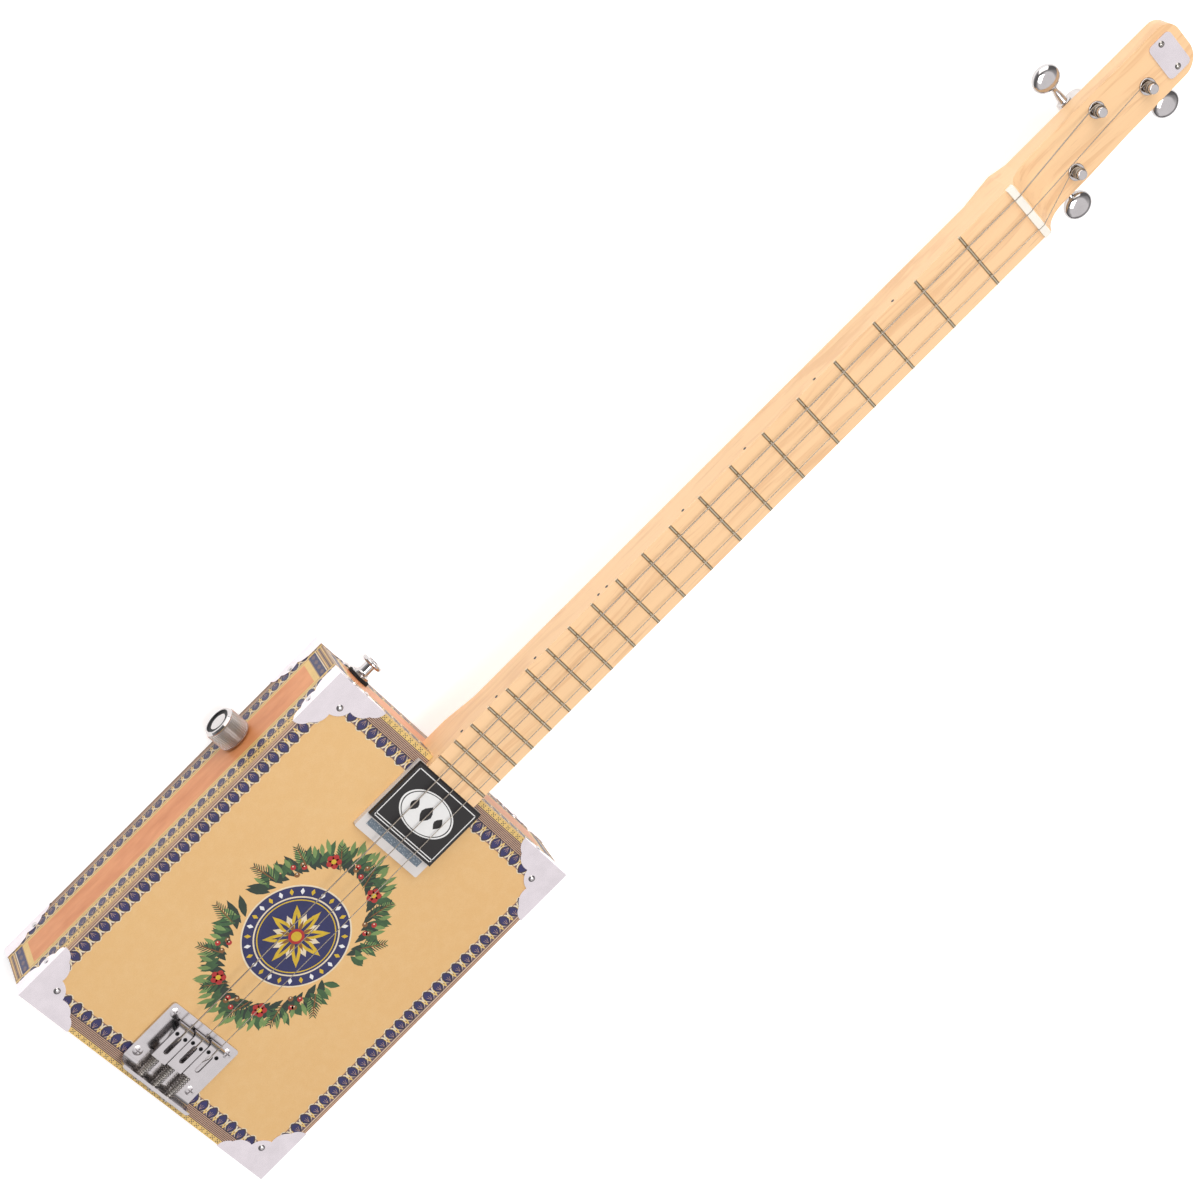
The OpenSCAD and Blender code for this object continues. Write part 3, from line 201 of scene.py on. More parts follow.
def golden_print(name):
    """The lid's golden field: fine paper with a warm drift of colour."""
    s = Shader(name)
    settings = bpy.context.scene.guitar_print
    base = tuple(settings.field_colour) + (1.0,)
    drift = s.noise(6.0, 3.0, 0.55)
    cloud = s.noise(160.0, 5.0, 0.7)
    grain = s.noise(1500.0, 2.0, 0.5)
    colour = s.mix(s.spread(drift, 0.36, 0.68) * 0.5, base, srgb("#E6B577"))
    colour = s.mix(s.spread(cloud, 0.42, 0.74) * 0.28, colour, srgb("#F4D09A"))
    colour = s.mix(s.spread(grain, 0.4, 0.7) * 0.14, colour, srgb("#C8965A"))
    s.set("Base Color", colour)
    s.set("Roughness", s.spread(cloud, 0.3, 0.7, 0.42, 0.52))
    s.set("Coat Weight", 0.06)
    s.set("Coat Roughness", 0.35)
    s.bump(grain * 0.6 + cloud * 0.4, 0.06, 0.00005)
    return s


def orange_print(name):
    """The side panels' orange print, mottled like stained wood."""
    s = Shader(name)
    drift = s.noise(26.0, 5.0, 0.6, s.mapped((1.0, 1.0, 2.6)))
    streak = s.noise(120.0, 4.0, 0.6, s.mapped((0.3, 1.0, 4.0)))
    colour = s.mix(s.spread(drift, 0.36, 0.66), srgb("#EFA068"), srgb("#DA8449"))
    colour = s.mix(s.spread(streak, 0.5, 0.75) * 0.35, colour, srgb("#F7B482"))
    s.set("Base Color", colour)
    s.set("Roughness", s.spread(streak, 0.3, 0.7, 0.4, 0.52))
    s.set("Coat Weight", 0.12)
    s.set("Coat Roughness", 0.3)
    s.bump(streak, 0.05, 0.00005)
    return s


def plywood(name):
    """Bare plywood of the box's back and inside faces."""
    s = Shader(name)
    grain = s.noise(40.0, 6.0, 0.65, s.mapped((0.35, 6.0, 6.0)))
    pore = s.noise(700.0, 2.0, 0.5, s.mapped((0.12, 3.0, 3.0)))
    colour = s.mix(s.spread(grain, 0.35, 0.65), srgb("#D9AE78"), srgb("#B9854F"))
    colour = s.mix(s.spread(pore, 0.6, 0.75) * 0.5, colour, srgb("#7A5330"))
    s.set("Base Color", colour)
    s.set("Roughness", s.spread(grain, 0.3, 0.7, 0.55, 0.7))
    s.bump(grain * 0.6 + pore * 0.4, 0.15, 0.0001)
    return s


def maple(name):
    """Satin maple: pale peach with wavering growth lines, fine grain and short flecks."""
    s = Shader(name)
    settings = bpy.context.scene.guitar_wood
    base = tuple(settings.maple_colour) + (1.0,)
    wander = s.noise(6.0, 2.0, 0.5, s.mapped((0.8, 4.0, 4.0)))
    sway = s.noise(9.0, 2.0, 0.5, s.mapped((0.7, 1.2, 1.2)), output="Color")
    bent = s.node("ShaderNodeVectorMath", {"operation": "MULTIPLY_ADD"}, {
        0: sway, 1: (0.0, 0.035, 0.02), 2: s.mapped((0.05, 1.0, 0.45))})
    growth = s.node("ShaderNodeTexNoise", {}, {
        "Vector": bent, "Scale": 190.0, "Detail": 3.0, "Roughness": 0.6})
    fine = s.noise(150.0, 5.0, 0.7, s.mapped((0.05, 3.4, 3.4)))
    fleck = s.noise(420.0, 2.0, 0.5, s.mapped((0.11, 2.0, 2.0)))
    colour = s.mix(s.spread(wander, 0.35, 0.68) * 0.6, base, srgb("#F4C793"))
    colour = s.mix(s.spread(growth, 0.52, 0.62) * 0.32, colour, srgb("#D89C68"))
    colour = s.mix(s.spread(fine, 0.5, 0.72) * 0.3, colour, srgb("#EDBF8C"))
    colour = s.mix(s.spread(fleck, 0.66, 0.78) * 0.3, colour, srgb("#C08C5A"))
    s.set("Base Color", colour)
    s.set("Roughness", s.spread(fine, 0.3, 0.7, 0.36, 0.5))
    s.set("Coat Weight", 0.08)
    s.set("Coat Roughness", 0.3)
    s.bump(fine * 0.6 + fleck * 0.4, 0.1, 0.00008)
    return s


def metal(name, colour, rough, scuff=0.06, wave=0.0, metallic=1.0):
    """Plated metal: polish marks, a breath of haze, and dents where wave is given."""
    s = Shader(name)
    haze = s.noise(90.0, 4.0, 0.6)
    marks = s.noise(1500.0, 3.0, 0.6, s.mapped((0.2, 1.0, 1.0)))
    tint = srgb(colour)
    dull = tuple(c * 0.9 for c in tint[:3]) + (1.0,)
    s.set("Base Color", s.mix(s.spread(haze, 0.35, 0.7), tint, dull))
    s.set("Metallic", metallic)
    s.set("Roughness", s.spread(haze * 0.6 + marks * 0.4, 0.3, 0.7, rough, rough + scuff))
    height = marks * 0.2
    if wave:
        height = height + s.noise(28.0, 1.0, 0.5) * wave
    s.bump(height, 0.05 + wave * 0.1, 0.0001)
    return s


def wound_wire(name):
    """Wound string: fine ribs across its run, lighter on their crests, with painted shade in the grooves
    between windings.
    """
    s = Shader(name)
    rib = s.node("ShaderNodeTexWave", {"wave_type": "BANDS", "bands_direction": "X"}, {
        "Vector": s.place, "Scale": 900.0, "Distortion": 0.0}, output="Fac")
    haze = s.noise(50.0, 3.0)
    # Lighter where the ribs rise, darker between them: painted shade in the grooves between windings
    s.set("Base Color", s.mix(s.spread(rib, 0.0, 0.6) * 0.3 + s.spread(haze, 0.4, 0.7) * 0.2,
                              srgb("#988E83"), srgb("#BEB4A8")))
    s.set("Metallic", 1.0)
    s.set("Roughness", s.spread(haze, 0.3, 0.7, 0.4, 0.48))
    s.bump(rib, 0.1, 0.00003)
    return s


def plastic(name, colour, rough, fleck="#FFFFFF", flecks=0.0, sheen=0.1):
    """Moulded or cast surface with a fine grain."""
    s = Shader(name)
    grain = s.noise(1800.0, 2.0, 0.5)
    haze = s.noise(45.0, 3.0, 0.5)
    base = srgb(colour)
    soft = tuple(min(1.0, c * 1.12 + 0.004) for c in base[:3]) + (1.0,)
    tone = s.mix(s.spread(haze, 0.3, 0.7), base, soft)
    if flecks:
        tone = s.mix(s.spread(grain, 0.56, 0.7) * flecks, tone, srgb(fleck))
    s.set("Base Color", tone)
    s.set("Roughness", s.spread(haze, 0.3, 0.7, rough - 0.04, rough + 0.06))
    s.set("Coat Weight", sheen)
    s.bump(grain, 0.1, 0.00006)
    return s


def felt(name):
    """Black felt: matt, with a loose nap."""
    s = Shader(name)
    nap = s.noise(1300.0, 4.0, 0.7)
    s.set("Base Color", s.mix(s.spread(nap, 0.4, 0.7), srgb("#0E0D0E"), srgb("#2B292A")))
    s.set("Roughness", 0.95)
    s.bump(nap, 0.7, 0.0003)
    return s


RECIPES = {
    "golden_print": (golden_print,),
    "orange_print": (orange_print,),
    "plywood": (plywood,),
    "maple": (maple,),
    "felt": (felt,),
    "wound_wire": (wound_wire,),
    "ground_ink": (printed, "#6E5560", 0.7),
    "navy_ink": (printed, "#2E2C63", 0.7),
    "deep_navy_ink": (printed, "#23265C", 0.8),
    "cream_ink": (printed, "#F1DFC0", 0.9),
    "yellow_ink": (printed, "#F2CB7C", 0.84),
    "brown_ink": (printed, "#A98468", 0.8),
    "pink_ink": (printed, "#CFA78A", 0.85),
    "dark_ink": (printed, "#3A2C38", 0.8),
    "gold_ink": (printed, "#E3BC2E", 0.8),
    "leaf_ink": (printed, "#3C6136", 0.6),
    "deep_leaf_ink": (printed, "#1E3424", 0.6),
    "pale_leaf_ink": (printed, "#7E9A58", 0.7),
    "red_ink": (printed, "#C02A27", 0.7),
    "rust_ink": (printed, "#8A5A2C", 0.75),
    "white_ink": (printed, "#F2F0EE", 0.94),
    "nickel": (metal, "#E9E2E6", 0.16, 0.08, 0.6),
    "chrome": (metal, "#CBC8C8", 0.07, 0.05, 0.1),
    "satin_chrome": (metal, "#D3CFD0", 0.14, 0.08, 0.3),
    "fret_wire": (metal, "#CDBFA4", 0.13, 0.06),
    "knurled": (metal, "#C6C1BF", 0.2, 0.08),
    "steel": (metal, "#B4AFAA", 0.22, 0.12),
    "plain_wire": (metal, "#B3AA9E", 0.4, 0.06),
    # Dark steel of the height screws, also laid as painted shade in the knob's end groove
    "black_steel": (metal, "#2A2A2C", 0.35, 0.1, 0.0, 0.8),
    "brass": (metal, "#C4A258", 0.22, 0.1),
    "bone": (plastic, "#F6EEE2", 0.32),
    "dot_black": (plastic, "#151314", 0.35),
    "cover_black": (plastic, "#0F0B0D", 0.55, "#FFFFFF", 0.0, 0.0),
    "base_silver": (plastic, "#D9D2CE", 0.34, "#F4F0EE", 0.15, 0.2),
    "striker": (plastic, "#66727E", 0.6, "#D5DBE0", 0.75, 0.05),
}


# Mesh tools

def piece(name, shape, finishes, body=ROOT, replaces=(), smooth=None):
    """Makes one finished object of a bmesh and tells the frame what it rides on."""
    bmesh.ops.recalc_face_normals(shape, faces=shape.faces[:])
    mesh = bpy.data.meshes.new(name)
    shape.to_mesh(mesh)
    shape.free()
    for f in finishes:
        mesh.materials.append(finish_of(f))
    obj = bpy.data.objects.new(name, mesh)
    bpy.context.scene.collection.objects.link(obj)
    if smooth is not None:
        mesh.shade_smooth()
        mesh.set_sharp_from_angle(angle=math.radians(smooth))
    if body:
        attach(obj, body)
    if replaces:
        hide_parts(*replaces)
    return obj


def lay(shape, small, at=Matrix(), finish=None):
    """Joins a small shape to a larger one, placed by a matrix, in one finish where that is given."""
    if finish is not None:
        for f in small.faces:
            f.material_index = finish
    small.transform(at)
    store = bpy.data.meshes.new("motif")
    small.to_mesh(store)
    small.free()
    shape.from_mesh(store)
    bpy.data.meshes.remove(store)


def repeat(shape, motif, places):
    """Stamps a motif at each of many places."""
    store = bpy.data.meshes.new("motif")
    motif.to_mesh(store)
    motif.free()
    for at in places:
        copy = store.copy()
        copy.transform(at)
        shape.from_mesh(copy)
        bpy.data.meshes.remove(copy)
    bpy.data.meshes.remove(store)


def slab(shape, low, high, finish=0, at=Matrix()):
    """Adds a thin box between two corners, seen in a print's own frame."""
    small = bmesh.new()
    bmesh.ops.create_cube(small, size=1.0)
    low, high = Vector(low), Vector(high)
    move = Matrix.Translation((low + high) / 2) @ Matrix.Diagonal((*(high - low), 1.0))
    lay(shape, small, at @ move, finish)


def raised(small, height):
    """Gives flat faces at z = 0 a thickness."""
    grown = bmesh.ops.extrude_face_region(small, geom=small.faces[:])
    tops = [g for g in grown["geom"] if isinstance(g, bmesh.types.BMVert)]
    bmesh.ops.translate(small, vec=(0, 0, height), verts=tops)


def blade(shape, length, width, tip=1.0, tail=0.5, height=0.03 * MM, finish=0, at=Matrix(), points=14):
    """Adds a flat leaf: a circle drawn out to a point, lying along +y from the origin."""
    small = bmesh.new()
    bmesh.ops.create_circle(small, cap_ends=True, segments=points, radius=1.0)
    for v in small.verts:
        up = v.co.y
        v.co.x *= (1.0 - up ** 2 * (tip if up > 0 else tail) * 0.75) * width / 2
        v.co.y = (up + 1) / 2 * length
    raised(small, height)
    lay(shape, small, at, finish)


def disc(shape, radius, height, finish=0, at=Matrix(), points=64, inner=0.0):
    """Adds a flat disc or ring that stands up from z = 0 of its frame."""
    small = bmesh.new()
    bmesh.ops.create_circle(small, cap_ends=inner == 0.0, segments=points, radius=radius)
    if inner:
        bmesh.ops.create_circle(small, cap_ends=False, segments=points, radius=inner)
        bmesh.ops.bridge_loops(small, edges=small.edges[:])
    raised(small, height)
    lay(shape, small, at, finish)


def spun(shape, outline, finish=0, at=Matrix(), steps=48):
    """Spins an outline of (radius, height) pairs about z."""
    small = bmesh.new()
    line = [small.verts.new((r, 0, z)) for r, z in outline]
    edges = [small.edges.new(pair) for pair in zip(line, line[1:])]
    bmesh.ops.spin(small, geom=line + edges, cent=(0, 0, 0), axis=(0, 0, 1), angle=math.tau,
                   steps=steps, use_merge=True)
    bmesh.ops.remove_doubles(small, verts=small.verts[:], dist=1e-7)
    lay(shape, small, at, finish)


def tube(points, radius, sides=3):
    """Gives a bmesh of a round wire through the points, closed at both ends."""
    curve = bpy.data.curves.new("wire", "CURVE")
    curve.dimensions = "3D"
    curve.bevel_depth = radius
    curve.bevel_resolution = sides
    curve.use_fill_caps = True
    line = curve.splines.new("POLY")
    line.points.add(len(points) - 1)
    for p, at in zip(line.points, points):
        p.co = (*at, 1.0)
    holder = bpy.data.objects.new("wire", curve)
    bpy.context.scene.collection.objects.link(holder)
    made = bpy.data.meshes.new_from_object(holder)
    shape = bmesh.new()
    shape.from_mesh(made)
    bmesh.ops.remove_doubles(shape, verts=shape.verts[:], dist=1e-8)
    bpy.data.objects.remove(holder)
    bpy.data.curves.remove(curve)
    bpy.data.meshes.remove(made)
    return shape


# Settings that a user would change

class PrintSettings(bpy.types.PropertyGroup):
    """Sizes and colours of the printed paper."""
    field_colour: FloatVectorProperty(
        name="Field", description="Colour of the lid's golden field", subtype="COLOR",
        size=3, min=0.0, max=1.0, default=srgb("#EBBE80")[:3])
    leaf_pitch: FloatProperty(
        name="Leaf pitch", description="Distance between the leaves of a border", subtype="DISTANCE",
        unit="LENGTH", default=7.6 * MM, min=4 * MM, max=15 * MM)
    leaf_length: FloatProperty(
        name="Leaf length", description="Length of a border's leaves", subtype="DISTANCE",
        unit="LENGTH", default=6.4 * MM, min=3 * MM, max=10 * MM)
    side_border: FloatProperty(
        name="Side border", description="Width of the border along the lid's long edges",
        subtype="DISTANCE", unit="LENGTH", default=10 * MM, min=6 * MM, max=20 * MM)
    end_border: FloatProperty(
        name="End border", description="Width of the border along the lid's short edges",
        subtype="DISTANCE", unit="LENGTH", default=15.8 * MM, min=8 * MM, max=24 * MM)
    wreath_leaves: IntProperty(
        name="Wreath leaves", description="Leaves on each half of the wreath", default=30, min=8, max=60)


class WoodSettings(bpy.types.PropertyGroup):
    """Colour of the neck."""
    maple_colour: FloatVectorProperty(
        name="Maple", description="Lightest colour of the neck's maple", subtype="COLOR",
        size=3, min=0.0, max=1.0, default=srgb("#FFD3A2")[:3])


class WireSettings(bpy.types.PropertyGroup):
    """Sizes of strings and springs."""
    bass_dia: FloatProperty(
        name="Bass", description="Diameter of the bass string", subtype="DISTANCE", unit="LENGTH",
        default=0.75 * MM, min=0.6 * MM, max=1.2 * MM)
    middle_dia: FloatProperty(
        name="Middle", description="Diameter of the middle string", subtype="DISTANCE", unit="LENGTH",
        default=0.55 * MM, min=0.45 * MM, max=0.9 * MM)
    treble_dia: FloatProperty(
        name="Treble", description="Diameter of the treble string", subtype="DISTANCE", unit="LENGTH",
        default=0.5 * MM, min=0.45 * MM, max=0.6 * MM)
    spring_wire: FloatProperty(
        name="Spring wire", description="Wire diameter of the saddle springs", subtype="DISTANCE",
        unit="LENGTH", default=0.55 * MM, min=0.4 * MM, max=0.6 * MM)
    spring_curls: IntProperty(
        name="Curls", description="Curls of each saddle spring", default=9, min=6, max=10)


class StageSettings(bpy.types.PropertyGroup):
    """Studio light and floor."""
    floor_colour: FloatVectorProperty(
        name="Floor", description="Colour of the studio floor", subtype="COLOR",
        size=3, min=0.0, max=1.0, default=(0.92, 0.92, 0.92))
    key_power: FloatProperty(
        name="Key", description="Power of the large soft lamp", default=21.0, min=1.0, max=400.0)
    fill_power: FloatProperty(
        name="Fill", description="Power of the fill lamp", default=16.0, min=0.0, max=300.0)


# Stage and finishes

# The camera fitted to the picture: its axes, its place and its lens in mm on a 36 mm sensor
EYE_RIGHT = Vector((0.70733, -0.62900, 0.32256))
EYE_AHEAD = Vector((-0.02261, -0.47621, -0.87904))
EYE_AT = Vector((0.2829, 0.7708, 1.4494))
LENS = 87.08
AIM = Vector((0.28, 0.0, 0.03))
FLOOR_GAP = 0.01 * MM

# Reflections: brightness against nearness to one direction, which waves with slow noise
SOFT_BOX = (-0.02, -0.48, 0.88)
SOFT_BOX_WAVE = 0.3
TONES = ((0.0, 0.5), (0.4, 0.15), (0.74, 0.2), (0.9, 0.45), (0.97, 0.76), (1.0, 0.97))


class GUITAR_OT_stage(bpy.types.Operator):
    """Builds the camera, soft lamps, pale floor and white surroundings"""
    bl_idname = "guitar.stage"
    bl_label = "Studio"

    def execute(self, context):
        scene = context.scene
        settings = scene.guitar_stage
        scene.view_settings.view_transform = "Standard"
        camera = bpy.data.cameras.new("camera")
        camera.sensor_width = 36
        camera.lens = LENS
        camera.clip_start = 0.05
        camera.clip_end = 20
        eye = bpy.data.objects.new("camera", camera)
        back = -EYE_AHEAD.normalized()
        right = (EYE_RIGHT - back * EYE_RIGHT.dot(back)).normalized()
        turn = Matrix((right, back.cross(right), back)).transposed()
        eye.matrix_world = Matrix.Translation(EYE_AT) @ turn.to_4x4()
        scene.collection.objects.link(eye)
        scene.camera = eye

        shape = bmesh.new()
        bmesh.ops.create_grid(shape, x_segments=1, y_segments=1, size=6.0)
        bmesh.ops.translate(shape, vec=(0.3, 0, BACK[0][2] - FLOOR_GAP), verts=shape.verts[:])
        mesh = bpy.data.meshes.new("floor")
        shape.to_mesh(mesh)
        shape.free()
        floor = bpy.data.objects.new("floor", mesh)
        scene.collection.objects.link(floor)
        look = Shader("floor")
        paint = tuple(settings.floor_colour) + (1.0,)
        speck = look.noise(300.0, 3.0)
        paper = look.mix(look.spread(speck, 0.3, 0.7) * 0.03, paint, srgb("#D8D8D8"))
        look.set("Base Color", paper)
        look.set("Roughness", 0.8)
        look.set("Emission Color", (1.0, 1.0, 1.0, 1.0))
        look.set("Emission Strength", (
            look.ray("Camera") + look.ray("Glossy") + look.ray("Transmission")).clamp() * 0.5)
        mesh.materials.append(look.material)

        world = bpy.data.worlds.new("studio")
        world.use_nodes = True
        sky = Nodes(world.node_tree)
        place = sky.node("ShaderNodeTexCoord", output="Generated")
        facing = sky.node("ShaderNodeVectorMath", {"operation": "DOT_PRODUCT"}, {
            0: place, 1: SOFT_BOX}, output="Value")
        wave = sky.node("ShaderNodeTexNoise", {}, {"Vector": place, "Scale": 2.1, "Detail": 0.0})
        stops = [(at, (tone, tone * 0.975, tone * 0.99, 1.0)) for at, tone in TONES]
        mirrored = sky.node("ShaderNodeValToRGB", {"stops": stops}, {0: wave * SOFT_BOX_WAVE + facing})
        white = sky.node("ShaderNodeBackground", {}, {
            0: sky.mix(sky.ray("Camera"), mirrored, (1.0, 1.0, 1.0, 1.0)), 1: 1.0})
        soft = sky.node("ShaderNodeBackground", {}, {0: (0.93, 0.96, 1.0, 1.0), 1: 0.42})
        seen = (sky.ray("Camera") + sky.ray("Glossy")).clamp()
        sky.node("ShaderNodeOutputWorld", {}, {
            0: sky.node("ShaderNodeMixShader", {}, {0: seen, 1: soft, 2: white})})
        scene.world = world

        for name, at, size, power, tint in (
                ("key", (0.4, 0.1, 2.2), 1.0, settings.key_power, (1.0, 0.985, 0.97)),
                ("fill", (1.3, 1.2, 0.9), 1.6, settings.fill_power, (1.0, 0.97, 0.94))):
            lamp = bpy.data.lights.new(name, "AREA")
            lamp.size = size
            lamp.energy = power
            lamp.color = tint
            holder = bpy.data.objects.new(name, lamp)
            turn = (AIM - Vector(at)).to_track_quat("-Z", "Y")
            holder.matrix_world = Matrix.Translation(at) @ turn.to_matrix().to_4x4()
            scene.collection.objects.link(holder)
        return {"FINISHED"}


NODE_FINISH = {
    "box_back": "plywood", "box_side_bass": "plywood", "box_side_treble": "plywood",
    "box_end_neck": "plywood", "box_end_tail": "plywood", "box_lid": "golden_print",
    "corner_plates": "nickel", "corner_nails": "satin_chrome", "neck": "maple", "frets": "fret_wire",
    "side_dots": "dot_black", "nut": "bone", "bridge_plate": "satin_chrome", "name_plate": "nickel",
    "tuner_covers": "chrome", "tuner_ferrules": "chrome", "headstock_screws": "steel",
    "wood_screws": "satin_chrome", "pickup_base": "base_silver", "pickup_cover": "cover_black",
    "control_shaft": "steel", "control_can": "steel", "panel_nuts": "chrome",
    "output_socket": "steel", "strap_button": "chrome", "felt_washer": "felt",
}
SIDE_FINISH = {
    "saddle": "satin_chrome", "height_screws": "black_steel", "intonation_screw": "steel",
    "tuner_housing": "chrome", "tuner_post": "chrome", "tuner_wheel": "brass", "tuner_worm": "steel",
}


class GUITAR_OT_finishes(bpy.types.Operator):
    """Gives every solid of the frame its own finish"""
    bl_idname = "guitar.finishes"
    bl_label = "Finishes"

    def execute(self, context):
        wanted = dict(NODE_FINISH)
        for side in SIDES:
            for key, value in SIDE_FINISH.items():
                wanted[f"{key}_{side}"] = value
        for node, value in wanted.items():
            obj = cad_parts[node]
            if not obj.material_slots:
                raise RuntimeError(f"{node} has no material slot")
            for held in obj.material_slots:
                held.material = finish_of(value)
        return {"FINISHED"}


# Printed paper

INKS = ["yellow_ink", "ground_ink", "navy_ink", "cream_ink", "brown_ink", "pink_ink", "dark_ink",
        "orange_print", "deep_navy_ink"]
YELLOW, GROUND, NAVY, CREAM, BROWN, PINK, DARK, ORANGE, DEEP = range(9)


def leaf_row(shape, at, start, end, inwards, settings, shrink=1.0, base=0.1 * MM):
    """Stamps leaves from start to end along x of a frame; inwards is +1 or -1 along its y."""
    count = max(1, round((end - start) / settings.leaf_pitch))
    step = (end - start) / count
    length = settings.leaf_length * shrink
    wide = settings.leaf_pitch
    motif = bmesh.new()
    lift = lambda dz, y=-length / 2: Matrix.Translation((0, y, dz * MM))
    blade(motif, length * 1.34, wide * 1.04, 0.55, 0.5, 0.02 * MM, CREAM, lift(0.0, -length * 0.56), 18)
    blade(motif, length * 1.28, wide * 0.8, 0.6, 0.5, 0.02 * MM, DARK, lift(0.02, -length * 0.58), 18)
    blade(motif, length * 1.0, wide * 0.62, 0.9, 0.3, 0.02 * MM, NAVY, lift(0.04, -length * 0.42), 16)
    for turned in (-0.42, 0.0, 0.42):
        vein = lift(0.06, -length * 0.42) @ Matrix.Rotation(turned, 4, "Z")
        slab(motif, (-0.08 * MM, 0, 0), (0.08 * MM, length * 0.5, 0.02 * MM), PINK, vein)
    for way in (-1, 1):
        spray = Matrix.Translation((way * step * 0.5, -length * 0.6, 0)) @ Matrix.Rotation(-way * 0.2, 4, "Z")
        blade(motif, length * 0.8, wide * 0.1, 1.0, 0.6, 0.05 * MM, YELLOW, spray, 8)
    turn = Matrix.Rotation(0 if inwards > 0 else math.pi, 4, "Z")
    repeat(shape, motif, [at @ Matrix.Translation((start + (i + 0.5) * step, 0, base)) @ turn
                          for i in range(count)])


def lines(shape, at, start, end, rows, base=0.1 * MM):
    """Rules thin lines along x of a frame: rows of (y, width, finish)."""
    for y, width, finish in rows:
        slab(shape, (start, y - width / 2, base), (end, y + width / 2, base + 0.03 * MM), finish, at)


class GUITAR_OT_lid_print(bpy.types.Operator):
    """Prints the leaf borders and ruled edges of the lid"""
    bl_idname = "guitar.lid_print"
    bl_label = "Lid print"

    def execute(self, context):
        settings = context.scene.guitar_print
        shape = bmesh.new()
        side, end = settings.side_border, settings.end_border
        paper = 0.1 * MM
        for way in (-1, 1):
            at = Matrix.Translation((0, 0, LID_TOP)) @ Matrix.Rotation(0 if way > 0 else math.pi, 4, "Z")
            out = HALF_WID
            slab(shape, (-HALF_LEN, out - side, 0), (HALF_LEN, out, paper), GROUND, at)
            lines(shape, at, -HALF_LEN, HALF_LEN, (
                (out - 1.3 * MM, 2.6 * MM, PINK),
                (out - side + 0.25 * MM, 0.5 * MM, BROWN)))
            lines(shape, at, -HALF_LEN, HALF_LEN, (
                (out - 0.5 * MM, 0.35 * MM, BROWN), (out - 1.6 * MM, 0.3 * MM, DARK),
                (out - 2.4 * MM, 0.25 * MM, CREAM)), paper + 0.03 * MM)
            row = at @ Matrix.Translation((0, out - side + 3.5 * MM, 0))
            leaf_row(shape, row, -HALF_LEN + 16 * MM, HALF_LEN - 16 * MM, -1, settings)

            at = Matrix.Translation((0, 0, LID_TOP)) @ Matrix.Rotation(way * math.pi / 2, 4, "Z")
            out = HALF_LEN
            spans = [(-HALF_WID + side, HALF_WID - side)]
            if way < 0:
                spans = [(-HALF_WID + side, -NECK_HALF - 0.1 * MM), (NECK_HALF + 0.1 * MM, HALF_WID - side)]
            for a, b in spans:
                slab(shape, (a, out - end, 0), (b, out, paper), GROUND, at)
                lines(shape, at, a, b, (
                    (out - 1.6 * MM, 3.2 * MM, YELLOW), (out - 6.2 * MM, 5.6 * MM, PINK),
                    (out - end + 0.25 * MM, 0.5 * MM, BROWN)))
                lines(shape, at, a, b, [(out - (3.3 + 0.95 * k) * MM, 0.42 * MM, DARK) for k in range(7)],
                      paper + 0.03 * MM)
                for k in range(int((b - a) / (4.2 * MM))):
                    for dx, dy in ((0, 0), (-0.8, -0.7), (0.8, -0.7), (-0.8, 0.7), (0.8, 0.7)):
                        disc(shape, 0.36 * MM, 0.03 * MM, DARK, at @ Matrix.Translation((
                            a + ((k + 0.5) * 4.2 + dx) * MM, out + (dy - 1.6) * MM, paper + 0.03 * MM)), 6)
                row = at @ Matrix.Translation((0, out - end + 3.5 * MM, 0))
                leaf_row(shape, row, a + 1 * MM, b - 1 * MM, -1, settings)
        piece("lid_border", shape, INKS)
        return {"FINISHED"}


